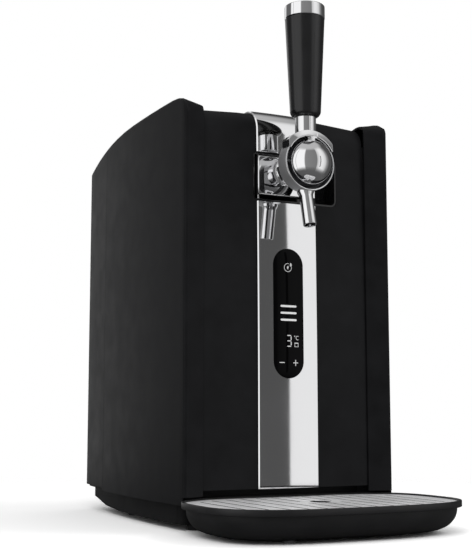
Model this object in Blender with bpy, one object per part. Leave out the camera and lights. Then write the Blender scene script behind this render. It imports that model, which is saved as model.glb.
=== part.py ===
"""Mini keg beer dispenser: a counter-top cooler with a hinged lid, a lever tap on a small door and a tray.

Metres, +Z up. X runs to the right for someone who faces the front, and the front looks along -Y.
Places along Y are given from the front panel's face. The root empty then moves the whole part, so that
its origin is the middle of its footprint, on the floor.
"""

import math

import bmesh
import bpy
from mathutils import Matrix, Vector

# Clearances and walls that many pieces share
GAP = 0.0003
OVERRUN = 0.002
WALL = 0.0026
RUNNING_CLEARANCE = 0.0001

# Body outline
BODY_DEPTH = 0.356
BODY_HALF_WIDTH = 0.1345
REAR_TAPER = 0.0208
WIDEST_Y = 0.070
BODY_TOP = 0.4777
TOP_FALL_LENGTH = 0.2060
REAR_TOP_FALL = 0.0240
SHOULDER_FALL = 0.0080
SHOULDER_WIDTH = 0.0282
LID_CROWN = 0.0045
SIDE_BOTTOM = 0.0290
REAR_COVER_LENGTH = 0.1025
WING_REACH = 0.0112
WING_CORNER_LENGTH = 0.035
WING_CORNER_DROP = 0.0155
EDGE_RADIUS = 0.0035
REAR_CORNER_RADIUS = 0.0150
REAR_COVER_BOTTOM = 0.0330
CROWN_SHARES = (-0.5, 0.0, 0.5)
ACROSS_SHARES = (-1.0, -0.5, 0.0, 0.5, 1.0)
SIDE_SHARES = (0.05, 0.09, 0.14, 0.24, 0.36, 0.48, 0.6, 0.72, 0.84, 0.92, 1.0)
SIDE_HOLLOW_SHARES = (0.0, 0.05, 0.12, 0.24, 0.4, 0.55, 0.7, 0.85, 1.0)
COVER_SHARES = (0.0, 0.25, 0.5, 0.75)
COVER_HOLLOW_SHARES = (0.0, 0.5, 1.0)
CORNER_STEPS = 4
EDGE_STEPS = 2

# Front panel
PANEL_BOTTOM = 0.0435
PANEL_TOP_RADIUS = 0.0250
PANEL_TOP_END_Y = 0.0330
PANEL_LEAN = 0.0030
LEAN_START_Z = 0.1500
PANEL_ROW_SHARES = (0.0, 0.26, 0.5, 0.7, 0.85, 1.0)

# Trim strip
STRIP_HALF_WIDTH = 0.0386
STRIP_THICKNESS = 0.0025
STRIP_LOWER_TOP = 0.3658
STRIP_UPPER_BOTTOM = 0.4236
STRIP_SHARES = (0.0, 0.5, 0.75, 1.0)

# Display
PILL_HALF_WIDTH = 0.0190
PILL_BOTTOM = 0.1651
PILL_TOP = 0.3194
PILL_STEPS = 10
GLASS_SINK = 0.0002
BOARD_THICKNESS = 0.0016
BOARD_MARGIN = 0.0060
DISPLAY_WINDOW_MARGIN = 0.0035

# Tap bay and finger pocket behind and beside the tap door
BAY_LEFT = 0.0425
BAY_RIGHT = 0.0680
BAY_BOTTOM = 0.3672
BAY_TOP = 0.4222
BAY_WALL = 0.0020
BAY_DEPTH = 0.0245
BAY_CORNER_RADIUS = 0.0072
BAY_HINGE_CORNER_RADIUS = 0.0032
TUBE_HOLE_RADIUS = 0.0070

# Tap door
DOOR_BOTTOM = 0.3741
DOOR_TOP = 0.4192
DOOR_LEFT = 0.0372
DOOR_RIGHT = 0.0383
CARRIER_THICKNESS = 0.0055
DOOR_PIN_RADIUS = 0.0012
DOOR_PIN_INSET = 0.0022

# Tap body: ring, spherical socket and shank in one casting
TAP_Z = 0.4030
TAP_PIVOT_Y = -0.0505
BALL_RADIUS = 0.0262
SOCKET_CLEARANCE = 0.0006
SOCKET_WALL = 0.0022
SOCKET_MOUTH_DEG = 82.0
RING_RADIUS = 0.0314
RING_LIP_INNER_RADIUS = 0.0272
RING_LIP_OUTER_RADIUS = 0.0290
RING_LIP_FRONT = 0.0055
RING_FRONT = 0.0035
RING_BACK = 0.0145
SHANK_RADIUS = 0.0125
ROSETTE_RADIUS = 0.0165
ROSETTE_THICKNESS = 0.0035
TURNED_STEPS = 28
PIVOT_PIN_RADIUS = 0.0020
PIVOT_PIN_HALF_LENGTH = 0.0292

# Pincher that squeezes the keg's tube, in the shank's bore
PINCHER_LENGTH = 0.0120
PINCHER_BORE_RADIUS = 0.0025

# Lever
LEVER_Y = -0.0438
YOKE_INNER_RADIUS = 0.0321
YOKE_OUTER_RADIUS = 0.0367
YOKE_FRONT_Y = -0.0587
YOKE_BACK_Y = -0.0400
YOKE_FLANGE_RADIUS = 0.0297
YOKE_FLANGE_THICKNESS = 0.0022
YOKE_HALF_ANGLE_DEG = 50.0
YOKE_STEPS = 14
TONGUE_HALF_WIDTH = 0.0045
NECK_RADIUS = 0.0118
HANDLE_BOTTOM = 0.4562
HANDLE_TOP = 0.5708
HANDLE_BOTTOM_RADIUS = 0.0175
HANDLE_TOP_RADIUS = 0.0225
HANDLE_END_RADIUS = 0.0075
HANDLE_END_STEPS = 4
CAP_HEIGHT = 0.0152
CAP_RADIUS = 0.0229
CAP_DOME = 0.0012
CAP_EDGE = 0.0012

# Spout
SPOUT_RADIUS = 0.0077
SPOUT_BORE_RADIUS = 0.0062
SPOUT_ROOT_RADIUS = 0.0095
SPOUT_ROOT_LENGTH = 0.0060
SPOUT_LENGTH = 0.0400
SPOUT_ROOT_Y = -0.0428
SPOUT_LEAN_DEG = 13.5

# Lid
LID_FRONT_Y = 0.0338
LID_SIDE_GAP = 0.0011
LID_SKIRT_BOTTOM = 0.4545
LID_WALL = 0.0024
LINER_THICKNESS = 0.0030
LINER_PLUG_DEPTH = 0.0085
LID_SHARES = (0.0, 0.2, 0.4, 0.6, 0.8)
LINER_TOP = 0.4578
LID_HINGE_SETBACK = 0.0098
LID_HINGE_Z = 0.4595
LID_ROLL_RADIUS = 0.0089
LID_ROLL_STEPS_DEG = (0, 20, 40, 60, 74)
LID_PIN_RADIUS = 0.0012
LID_PIN_HOLD = 0.0062
LID_EAR_GAP = 0.0004
LID_EAR_WIDTH = 0.0048
LID_EAR_HALF_DEPTH = 0.0050
LID_EAR_TOP = 0.4622
CATCH_HALF_WIDTH = 0.0120
CATCH_DEPTH = 0.0100
CATCH_THICKNESS = 0.0018
CATCH_HOOK = 0.0015

# Cooling chamber
CHAMBER_FRONT_SPACE = 0.0460
CHAMBER_REAR_SPACE = 0.1220
CHAMBER_SIDE_SPACE = 0.0112
TUB_WALL = 0.0015
TUB_BOTTOM = 0.1210
TUB_FLANGE_WIDTH = 0.0045
TUB_FLANGE_THICKNESS = 0.0015
DECK_TOP = 0.4500
DECK_THICKNESS = 0.0034
DECK_SIDE_GAP = 0.0006
DECK_SHARES = (0.0, 0.3, 0.6, 0.85, 1.0)
FOAM_THICKNESS = 0.0105
FOAM_FLOOR = 0.0180
CHAMBER_STEPS = 32
GASKET_WIDTH = 0.0040
PLUG_CLEARANCE = 0.0045
GASKET_THICKNESS = 0.0024
SEAT_CLEARANCE = 0.0080
SEAT_BORE_RADIUS = 0.0240
SEAT_THICKNESS = 0.0060
COUPLER_RADIUS = 0.0085
COUPLER_FLANGE_RADIUS = 0.0150
COUPLER_FLANGE_THICKNESS = 0.0025
COUPLER_BARB_RADIUS = 0.0030
COUPLER_TOP_RISE = 0.0120
COUPLER_BARB_LENGTH = 0.0120

# Base pan and feet
BASE_INSET = 0.0100
BASE_BOTTOM = 0.0068
BASE_FRONT_Y = 0.0160
BASE_UPSTAND_TOP = 0.0500
BASE_REAR_INSET = 0.0120
BASE_RISE_LENGTH = 0.1340
BASE_REAR_RISE = 0.0130
BASE_CORNER_RADIUS = 0.0120
BASE_WALL = 0.0030
BASE_SHARES = (0.3, 0.6, 0.8)
BASE_HOLLOW_SHARES = (0.0, 0.2, 0.4, 0.6, 0.8, 1.0)
FOOT_RADIUS = 0.0090
FOOT_SINK = 0.0020
FRONT_FOOT_INSET = 0.0330
FRONT_FOOT_Y = 0.0266
REAR_FOOT_INSET = 0.0445
REAR_FOOT_SETBACK = 0.1140
FOAM_CRADLE_INSET = 0.0040
FOAM_CRADLE_WALL = 0.0024

# Drip tray
TRAY_HALF_WIDTH = 0.1490
TRAY_FRONT = 0.1690
TRAY_BACK = 0.0211
TRAY_ROUNDNESS = 3.05
TRAY_TOP = 0.0350
TRAY_RIM_HEIGHT = 0.0068
TRAY_RIM_OVERHANG = 0.0045
TRAY_RIM_WIDTH = 0.0032
TRAY_BOTTOM = 0.0026
TRAY_FLOOR_INSET = 0.0340
TRAY_WALL = 0.0022
TRAY_STEPS = 40
TRAY_CLEARANCE = 0.0014
TRAY_HEADROOM = 0.0025
TRAY_FOOT_RADIUS = 0.0060
TRAY_FOOT_X = 0.0680
TRAY_FOOT_Y = -0.1220
TRAY_TONGUE_X = 0.0400
TRAY_TONGUE_HALF_WIDTH = 0.0100
TRAY_TONGUE_HEIGHT = 0.0050
TRAY_TONGUE_BOTTOM = 0.0150
TRAY_TONGUE_REACH = 0.0160
TONGUE_SLOT_CLEARANCE = 0.0005
BULGE_SHARES = ((0.0, 0.0), (0.42, 0.07), (0.76, 0.29), (0.94, 0.64), (1.0, 1.0))
GRILLE_THICKNESS = 0.0020
GRILLE_SINK = 0.0018
GRILLE_LEDGE = 0.0045
GRILLE_SLOT_WIDTH = 0.0030
GRILLE_SLOT_PITCH = 0.0195
GRILLE_MARGIN = 0.0130
GRILLE_BAR = 0.0170
GRILLE_BAR_Y = -0.0680
GRILLE_HOLE_RADIUS = 0.0110
GRILLE_HOLE_STEPS = 20

# Rear louvres
LOUVRE_DEPTH = 0.0120
LOUVRE_RIB_DEPTH = 0.0040
LOUVRE_HEIGHT = 0.0065
LOWER_LOUVRE_START = 0.0440
LOWER_LOUVRE_PITCH = 0.0104
LOWER_LOUVRES = 14
UPPER_LOUVRE_START = 0.2870
UPPER_LOUVRE_PITCH = 0.0111
UPPER_LOUVRES = 5
MULLION_WIDTH = 0.0060
INLET_SIDE_INSET = 0.0387
INLET_TO_MULLION = 0.0250
INLET_Z = 0.0650
INLET_PATCH_HALF_WIDTH = 0.0210
INLET_PATCH_HALF_HEIGHT = 0.0170

# Cooling engine
COLD_BLOCK_HALF_WIDTH = 0.0300
COLD_BLOCK_HEIGHT = 0.0600
ENGINE_Z = 0.1900
MODULE_SIZE = 0.0400
MODULE_THICKNESS = 0.0040
ENGINE_SPACE = 0.0960
SINK_HALF_WIDTH = 0.0550
SINK_HEIGHT = 0.1400
SINK_BASE = 0.0060
SINK_DEPTH = 0.0340
SINK_FINS = 12
SINK_FIN_THICKNESS = 0.0014
SINK_Z = 0.1600
FAN_HALF_SIZE = 0.0460
FAN_DEPTH = 0.0240
FAN_DUCT_RADIUS = 0.0435
FAN_HUB_RADIUS = 0.0170
FAN_BLADE_TIP_CLEARANCE = 0.0015
FAN_BLADES = 7
FAN_BLADE_PITCH_DEG = 38.0
FAN_BLADE_CHORD = 0.0190
FAN_BLADE_THICKNESS = 0.0014
FAN_STRUT_HALF_WIDTH = 0.0030
FAN_STRUT_DEPTH = 0.0030
FAN_STRUT_TURNS_DEG = (45.0, 135.0)
FAN_AXLE_RADIUS = 0.0020
FAN_STEPS = 28

# Air pump, air hose and electrics
PUMP_ACROSS_SHARE = -0.4787
PUMP_ALONG_SHARE = -0.4255
PUMP_RADIUS = 0.0160
PUMP_HEAD_RADIUS = 0.0120
PUMP_BODY_HEIGHT = 0.0400
PUMP_HEAD_HEIGHT = 0.0120
PUMP_BARB_RADIUS = 0.0025
PUMP_BARB_HEIGHT = 0.0080
HOSE_RADIUS = 0.0030
HOSE_POINTS = 12
SUPPLY_ACROSS_SHARE = 0.4681
SUPPLY_WIDTH_SHARE = 0.5319
SUPPLY_DEPTH_SHARE = 1.0638
SUPPLY_HEIGHT = 0.0420
CONTROL_ACROSS_SHARE = -0.3617
CONTROL_ALONG_SHARE = 0.3404
CONTROL_WIDTH_SHARE = 0.5532
CONTROL_DEPTH_SHARE = 0.5106
CONTROL_HEIGHT = 0.0120
INLET_WIDTH = 0.0300
INLET_LENGTH = 0.0240
INLET_HEIGHT = 0.0220
INLET_FLANGE = 0.0050
INLET_FLANGE_THICKNESS = 0.0020
INLET_PIN_HOLLOW = 0.0160
SCREW_HEAD_RADIUS = 0.0024
SCREW_SHANK_RADIUS = 0.0015
SCREW_HEAD_HEIGHT = 0.0018
SCREW_LENGTH = 0.0100
SCREW_STEPS = 8
PIN_STEPS = 12
SCREW_ROWS = (0.2350, 0.3850)

# Values worked out from the sizes above
DATUM_Y = (TRAY_FRONT - BODY_DEPTH) / 2
REAR_HALF_WIDTH = BODY_HALF_WIDTH - REAR_TAPER
SHOULDER_HALF_WIDTH = BODY_HALF_WIDTH - SHOULDER_WIDTH
PANEL_HALF_WIDTH = SHOULDER_HALF_WIDTH - 2 * GAP
TOP_FALL_START_Y = BODY_DEPTH - TOP_FALL_LENGTH
SIDE_SEAM_Y = BODY_DEPTH - REAR_COVER_LENGTH
LID_HALF_WIDTH = SHOULDER_HALF_WIDTH - LID_SIDE_GAP
LID_HINGE_Y = SIDE_SEAM_Y - LID_HINGE_SETBACK
LID_PIN_INNER_X = LID_HALF_WIDTH - LID_PIN_HOLD
LID_EAR_INNER_X = SHOULDER_HALF_WIDTH + LID_EAR_GAP
LID_EAR_OUTER_X = LID_EAR_INNER_X + LID_EAR_WIDTH
CHAMBER_SPACE = BODY_DEPTH - CHAMBER_FRONT_SPACE - CHAMBER_REAR_SPACE
CHAMBER_RADIUS = min(CHAMBER_SPACE / 2, LID_HALF_WIDTH - CHAMBER_SIDE_SPACE)
CHAMBER_Y = CHAMBER_FRONT_SPACE + CHAMBER_RADIUS
TUB_FLANGE_RADIUS = CHAMBER_RADIUS + TUB_FLANGE_WIDTH
SEAT_RADIUS = CHAMBER_RADIUS - SEAT_CLEARANCE
FOAM_CRADLE_RADIUS = CHAMBER_RADIUS - FOAM_CRADLE_INSET
BASE_REAR_Y = BODY_DEPTH - BASE_REAR_INSET
BASE_RISE_START_Y = BASE_REAR_Y - BASE_RISE_LENGTH
FRONT_FOOT_X = BODY_HALF_WIDTH - FRONT_FOOT_INSET
REAR_FOOT_X = BODY_HALF_WIDTH - REAR_FOOT_INSET
REAR_FOOT_Y = BASE_REAR_Y - REAR_FOOT_SETBACK
MODULE_Y = BODY_DEPTH - ENGINE_SPACE
INLET_X = REAR_HALF_WIDTH - INLET_SIDE_INSET
MULLION_X = INLET_X - INLET_TO_MULLION
PUMP_X = CHAMBER_RADIUS * PUMP_ACROSS_SHARE
PUMP_Y = CHAMBER_Y + CHAMBER_RADIUS * PUMP_ALONG_SHARE
CAP_TOP = HANDLE_TOP + CAP_HEIGHT
PANEL_ARC_START_Z = BODY_TOP - SHOULDER_FALL - PANEL_TOP_RADIUS
DOOR_MID_Z = (DOOR_BOTTOM + DOOR_TOP) / 2
MATERIALS = {
    "black_plastic": ((0.016, 0.016, 0.018), 0.42, 0.0),
    "grey_plastic": ((0.05, 0.05, 0.055), 0.5, 0.0),
    "gloss_black": ((0.006, 0.006, 0.007), 0.12, 0.0),
    "chrome": ((0.78, 0.78, 0.79), 0.06, 1.0),
    "aluminium": ((0.62, 0.63, 0.65), 0.35, 1.0),
    "rubber": ((0.02, 0.02, 0.02), 0.85, 0.0),
    "foam": ((0.72, 0.70, 0.62), 0.95, 0.0),
    "circuit_board": ((0.02, 0.10, 0.05), 0.55, 0.0),
}


def half_width(y):
    """Half the casing's width at a distance behind the front face: gently barrelled in plan."""
    fall = BODY_HALF_WIDTH - REAR_HALF_WIDTH
    return BODY_HALF_WIDTH - fall * ((y - WIDEST_Y) / (BODY_DEPTH - WIDEST_Y)) ** 2


def top_fall(y):
    """How far the top has dropped towards the rear."""
    along = max(0.0, y - TOP_FALL_START_Y) / (BODY_DEPTH - TOP_FALL_START_Y)
    return REAR_TOP_FALL * along**2


def side_top(y):
    """Height of the side panel's top edge, with its rounded front corner."""
    top = BODY_TOP - top_fall(y)
    along = (y + WING_REACH) / WING_CORNER_LENGTH
    if along < 1:
        top -= WING_CORNER_DROP * (1 - math.sqrt(1 - (1 - along) ** 2))
    return top


def lid_top(x, y):
    """Height of the crowned surface between the two shoulders."""
    crown = LID_CROWN * (1 - (x / SHOULDER_HALF_WIDTH) ** 2)
    return BODY_TOP - top_fall(y) - SHOULDER_FALL + crown


def front_y(z):
    """The front face leans back a little towards its top."""
    along = max(0.0, z - LEAN_START_Z) / (PANEL_ARC_START_Z - LEAN_START_Z)
    return PANEL_LEAN * along**2


DOOR_FACE_Y = front_y(DOOR_MID_Z) - GAP - STRIP_THICKNESS
DOOR_PIN_X = -DOOR_LEFT + DOOR_PIN_INSET
DOOR_PIN_Y = DOOR_FACE_Y + STRIP_THICKNESS + DOOR_PIN_INSET


def material(name):
    """The named Principled material, made once."""
    found = bpy.data.materials.get(name)
    if found:
        return found
    colour, roughness, metallic = MATERIALS[name]
    made = bpy.data.materials.new(name)
    made.use_nodes = True
    shader = made.node_tree.nodes["Principled BSDF"]
    shader.inputs["Base Color"].default_value = (*colour, 1.0)
    shader.inputs["Roughness"].default_value = roughness
    shader.inputs["Metallic"].default_value = metallic
    return made


def add_object(name, mesh_data, finish, parent, sharp_deg=35.0):
    """Put a bmesh into the scene as a smooth-shaded object with its own material."""
    bmesh.ops.recalc_face_normals(mesh_data, faces=mesh_data.faces)
    mesh = bpy.data.meshes.new(name)
    mesh_data.to_mesh(mesh)
    mesh_data.free()
    mesh.shade_smooth()
    mesh.set_sharp_from_angle(angle=math.radians(sharp_deg))
    made = bpy.data.objects.new(name, mesh)
    bpy.context.scene.collection.objects.link(made)
    mesh.materials.append(material(finish))
    made.parent = parent
    if parent is not None:
        made.matrix_parent_inverse = PARENT_INVERSES[parent.name]
    return made


def add_empty(name, place, parent=None):
    """An empty on a joint's axis. Its children keep the places that their meshes give."""
    made = bpy.data.objects.new(name, None)
    bpy.context.scene.collection.objects.link(made)
    made.location = place
    if parent is not None:
        made.parent = parent
        made.matrix_parent_inverse = PARENT_INVERSES[parent.name]
    PARENT_INVERSES[name] = Matrix.Translation(Vector(place)).inverted()
    return made


PARENT_INVERSES = {}


def cutter(mesh_data, parent):
    """A hidden body that a Boolean takes away or adds."""
    made = add_object("cutter", mesh_data, "grey_plastic", parent)
    made.hide_render = True
    made.display_type = "WIRE"
    return made


def boolean(target, other, operation="DIFFERENCE"):
    """Add a Boolean modifier that uses a cutter's shape."""
    step = target.modifiers.new(operation.lower(), "BOOLEAN")
    step.operation = operation
    step.solver = "EXACT"
    step.object = other
    return step


def loft(sections):
    """Close a body over a row of sections, each a closed ring of points in the same order."""
    body = bmesh.new()
    rings = [[body.verts.new(point) for point in section] for section in sections]
    for ring, following in zip(rings, rings[1:]):
        for index, vertex in enumerate(ring):
            after = (index + 1) % len(ring)
            body.faces.new((vertex, ring[after], following[after], following[index]))
    body.faces.new(reversed(rings[0]))
    body.faces.new(rings[-1])
    return body


def prism(outline, axis, low, high):
    """Extrude a closed outline along an axis. The outline's pairs run along the other two axes, in order."""
    order = {"X": (None, 0, 1), "Y": (0, None, 1), "Z": (0, 1, None)}[axis]

    def place(point, along):
        return tuple(along if source is None else point[source] for source in order)

    return loft([[place(point, level) for point in outline] for level in (low, high)])


def box(low, high):
    """A plain block between two corners."""
    corners = ((low[0], low[1]), (high[0], low[1]), (high[0], high[1]), (low[0], high[1]))
    return prism(corners, "Z", low[2], high[2])


def merge(bodies):
    """Several bodies that don't touch, in one bmesh, for use as one cutter."""
    merged = bmesh.new()
    for body in bodies:
        piece = bpy.data.meshes.new("piece")
        body.to_mesh(piece)
        body.free()
        merged.from_mesh(piece)
        bpy.data.meshes.remove(piece)
    return merged


def turned(profile, steps, centre, axis="Z"):
    """Turn a profile of (radius, distance along the axis) pairs. A radius of zero closes the end on the axis.

    A profile with no zero radius is a closed ring section.
    """
    body = bmesh.new()
    rings = []
    for radius, along in profile:
        if radius == 0:
            rings.append([body.verts.new((0, 0, along))])
            continue
        ring = []
        for step in range(steps):
            angle = 2 * math.pi * step / steps
            ring.append(body.verts.new((radius * math.cos(angle), radius * math.sin(angle), along)))
        rings.append(ring)
    pairs = list(zip(rings, rings[1:]))
    if all(radius > 0 for radius, _ in profile):
        pairs.append((rings[-1], rings[0]))
    for ring, following in pairs:
        for step in range(steps):
            after = (step + 1) % steps
            corners = [ring[step % len(ring)], ring[after % len(ring)]]
            corners += [following[after % len(following)], following[step % len(following)]]
            unique = list(dict.fromkeys(corners))
            body.faces.new(unique)
    turns = {
        "Z": Matrix.Identity(4),
        "Y": Matrix.Rotation(math.radians(-90), 4, "X"),
        "X": Matrix.Rotation(math.radians(90), 4, "Y"),
    }
    bmesh.ops.transform(body, matrix=Matrix.Translation(centre) @ turns[axis], verts=body.verts)
    return body


def cylinder(radius, low, high, steps, centre, axis="Z"):
    """A solid round bar."""
    return turned([(0, low), (radius, low), (radius, high), (0, high)], steps, centre, axis)


def arc(centre, radius, start_deg, end_deg, steps):
    """Points along an arc, both ends included."""
    points = []
    for step in range(steps + 1):
        angle = math.radians(start_deg + (end_deg - start_deg) * step / steps)
        points.append((centre[0] + radius * math.cos(angle), centre[1] + radius * math.sin(angle)))
    return points


def rounded_rectangle(low, high, left_radius, right_radius):
    """A rectangle with rounded corners, of one radius on its left and another on its right."""
    corners = (
        (high[0] - right_radius, high[1] - right_radius, right_radius, 0),
        (low[0] + left_radius, high[1] - left_radius, left_radius, 90),
        (low[0] + left_radius, low[1] + left_radius, left_radius, 180),
        (high[0] - right_radius, low[1] + right_radius, right_radius, 270),
    )
    outline = []
    for x, z, radius, start in corners:
        outline += arc((x, z), radius, start, start + 90, CORNER_STEPS)
    return outline


def tray_outline(inset, height):
    """The drip tray's rounded outline, drawn in by an inset, as a ring at one height."""
    middle_y = (TRAY_BACK - TRAY_FRONT) / 2
    half_depth = (TRAY_BACK + TRAY_FRONT) / 2 - inset
    half_across = TRAY_HALF_WIDTH - inset
    ring = []
    for step in range(TRAY_STEPS):
        angle = 2 * math.pi * step / TRAY_STEPS
        across = math.copysign(abs(math.cos(angle)) ** (2 / TRAY_ROUNDNESS), math.cos(angle))
        along = math.copysign(abs(math.sin(angle)) ** (2 / TRAY_ROUNDNESS), math.sin(angle))
        ring.append((half_across * across, middle_y + half_depth * along, height))
    return ring


def tray_clearance(parent):
    """The space that the tray's rim and bowl keep free in the casing behind them."""
    levels = (-OVERRUN, TRAY_TOP + TRAY_HEADROOM)
    return cutter(loft([tray_outline(-TRAY_CLEARANCE, level) for level in levels]), parent)


def side_section(y, inset, wall, sign):
    """One section of a side panel: bottom, outer wall, rounded top edge and shoulder.

    Near the front the section's plane turns, so that the first one is the wing's slanted face.
    """
    outer = half_width(max(y, 0.0)) - inset - wall
    top = side_top(y) - inset - wall
    bottom = SIDE_BOTTOM + wall
    inner = SHOULDER_HALF_WIDTH - (OVERRUN if wall else 0)
    along = min(1.0, (y + WING_REACH) / WING_CORNER_LENGTH)
    slant = WING_REACH * (1 - along) / (BODY_HALF_WIDTH - SHOULDER_HALF_WIDTH)
    edge = arc((outer - EDGE_RADIUS, top - EDGE_RADIUS), EDGE_RADIUS, 0, 90, EDGE_STEPS)
    points = [(inner, bottom), (outer, bottom)] + edge + [(inner, top - SHOULDER_FALL * along)]
    return [(sign * x, y + slant * (outer - x), z) for x, z in points]


def side_panel(name, sign, root):
    """Side wall, slanted front wing, top shoulder and bottom flange in one moulding."""
    depth = SIDE_SEAM_Y + WING_REACH
    sections = []
    for across, ahead in arc((0, 0), EDGE_RADIUS, 0, 90, EDGE_STEPS):
        y = -WING_REACH + EDGE_RADIUS - across
        sections.append(side_section(y, EDGE_RADIUS - ahead, 0, sign))
    for share in SIDE_SHARES:
        sections.append(side_section(-WING_REACH + depth * share, 0, 0, sign))
    panel = add_object(name, loft(sections), "black_plastic", root)
    front = -WING_REACH + WALL
    inner_depth = SIDE_SEAM_Y + OVERRUN - front
    hollow = []
    for share in SIDE_HOLLOW_SHARES:
        hollow.append(side_section(front + inner_depth * share, 0, WALL, sign))
    boolean(panel, cutter(loft(hollow), root))
    boolean(panel, tray_clearance(root))
    return panel


def cover_section(y, inset, wall, bottom):
    """One full-width section of the rear cover."""
    outer = half_width(y) - inset - wall
    top = side_top(y) - inset - wall
    shoulder = min(SHOULDER_HALF_WIDTH, outer - 2 * EDGE_RADIUS)
    edge = arc((outer - EDGE_RADIUS, top - EDGE_RADIUS), EDGE_RADIUS, 0, 90, EDGE_STEPS)
    right = [(outer, bottom)] + edge + [(shoulder, lid_top(shoulder, y) - inset - wall)]
    crown = []
    for share in reversed(CROWN_SHARES):
        x = share * shoulder
        crown.append((x, lid_top(x, y) - inset - wall))
    left = [(-x, z) for x, z in reversed(right)]
    return [(x, y, z) for x, z in right + crown + left]


def louvre_boxes():
    """The slots of both louvre groups. They leave a plain patch round the mains inlet."""
    front = BODY_DEPTH - LOUVRE_DEPTH
    back = BODY_DEPTH + OVERRUN
    side = BODY_HALF_WIDTH
    boxes = []
    groups = (
        (LOWER_LOUVRE_START, LOWER_LOUVRE_PITCH, LOWER_LOUVRES),
        (UPPER_LOUVRE_START, UPPER_LOUVRE_PITCH, UPPER_LOUVRES),
    )
    for start, pitch, count in groups:
        for index in range(count):
            low = start + pitch * index
            high = low + LOUVRE_HEIGHT
            near_inlet = abs((low + high) / 2 - INLET_Z) < INLET_PATCH_HALF_HEIGHT + LOUVRE_HEIGHT / 2
            spans = [(-side, side)]
            if near_inlet:
                spans = [(-side, INLET_X - INLET_PATCH_HALF_WIDTH), (INLET_X + INLET_PATCH_HALF_WIDTH, side)]
            boxes += [box((left, front, low), (right, back, high)) for left, right in spans]
    return boxes


def rear_cover(root):
    """Rear wall with rounded corners, the rear of the top, and two groups of louvres."""
    straight = BODY_DEPTH - REAR_CORNER_RADIUS
    start = SIDE_SEAM_Y + GAP
    sections = []
    for share in COVER_SHARES:
        sections.append(cover_section(start + (straight - start) * share, 0, 0, REAR_COVER_BOTTOM))
    for step in range(CORNER_STEPS + 1):
        angle = math.radians(90 * step / CORNER_STEPS)
        y = straight + REAR_CORNER_RADIUS * math.sin(angle)
        inset = REAR_CORNER_RADIUS * (1 - math.cos(angle))
        sections.append(cover_section(y, inset, 0, REAR_COVER_BOTTOM))
    cover = add_object("rear_cover", loft(sections), "black_plastic", root)
    rib_front = BODY_DEPTH - LOUVRE_DEPTH - LOUVRE_RIB_DEPTH
    below = REAR_COVER_BOTTOM - OVERRUN
    hollow = []
    for share in COVER_HOLLOW_SHARES:
        y = start - OVERRUN + (rib_front - start + OVERRUN) * share
        hollow.append(cover_section(y, 0, WALL, below))
    boolean(cover, cutter(loft(hollow), root))
    edges = [-REAR_HALF_WIDTH + REAR_CORNER_RADIUS]
    for centre in (-MULLION_X, 0.0, MULLION_X):
        edges += [centre - MULLION_WIDTH / 2, centre + MULLION_WIDTH / 2]
    edges.append(REAR_HALF_WIDTH - REAR_CORNER_RADIUS)
    ceiling = side_top(BODY_DEPTH) - SHOULDER_FALL - REAR_CORNER_RADIUS - WALL
    columns = []
    for left, right in zip(edges[::2], edges[1::2]):
        columns.append(box((left, rib_front - OVERRUN, below), (right, BODY_DEPTH - WALL, ceiling)))
    boolean(cover, cutter(merge(columns), root))
    boolean(cover, cutter(merge(louvre_boxes()), root))
    boolean(cover, cutter(inlet_opening(), root))
    boolean(cover, cutter(merge([screw_hole(x, z) for x, z in screw_places()]), root))
    return cover


def front_outline(x, offset, low, wraps=True):
    """The front face's side view at one place across it, from a height up and over the top edge."""
    crown = lid_top(x, 0.0) - lid_top(SHOULDER_HALF_WIDTH, 0.0)
    points = []
    for share in PANEL_ROW_SHARES:
        z = low + (PANEL_ARC_START_Z - low) * share
        lift = crown * max(0.0, z - LEAN_START_Z) / (PANEL_ARC_START_Z - LEAN_START_Z)
        points.append((front_y(z) - offset, z + lift * share))
    if wraps:
        centre = (front_y(PANEL_ARC_START_Z) + PANEL_TOP_RADIUS, PANEL_ARC_START_Z + crown)
        points += arc(centre, PANEL_TOP_RADIUS + offset, 180, 90, 2 * CORNER_STEPS)[1:]
        points.append((PANEL_TOP_END_Y, centre[1] + PANEL_TOP_RADIUS + offset))
    return points


def front_skin(x, outer, inner, low):
    """A closed section of a sheet that follows the front face between two offsets."""
    face = front_outline(x, outer, low)
    back = front_outline(x, inner, low)
    return [(x, y, z) for y, z in face + back[::-1]]


def bay_outline(grow):
    """The tap bay's opening in the front panel."""
    low = (-BAY_LEFT - grow, BAY_BOTTOM - grow)
    high = (BAY_RIGHT + grow, BAY_TOP + grow)
    return rounded_rectangle(low, high, BAY_HINGE_CORNER_RADIUS + grow, BAY_CORNER_RADIUS + grow)


def stadium(margin):
    """The display's pill outline, grown by a margin."""
    radius = PILL_HALF_WIDTH + margin
    top = arc((0, PILL_TOP - PILL_HALF_WIDTH), radius, 0, 180, PILL_STEPS)
    bottom = arc((0, PILL_BOTTOM + PILL_HALF_WIDTH), radius, 180, 360, PILL_STEPS)
    return top + bottom


def front_panel(root):
    """Front panel with its rounded, crowned top edge, the tap bay's opening and the display's window."""
    sections = []
    for share in ACROSS_SHARES:
        sections.append(front_skin(PANEL_HALF_WIDTH * share, 0, -WALL, PANEL_BOTTOM))
    panel = add_object("front_panel", loft(sections), "black_plastic", root)
    boolean(panel, cutter(prism(bay_outline(GAP), "Y", -BAY_DEPTH, BAY_DEPTH), root))
    window = stadium(-DISPLAY_WINDOW_MARGIN)
    boolean(panel, cutter(prism(window, "Y", -BAY_DEPTH, BAY_DEPTH), root))
    return panel


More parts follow.
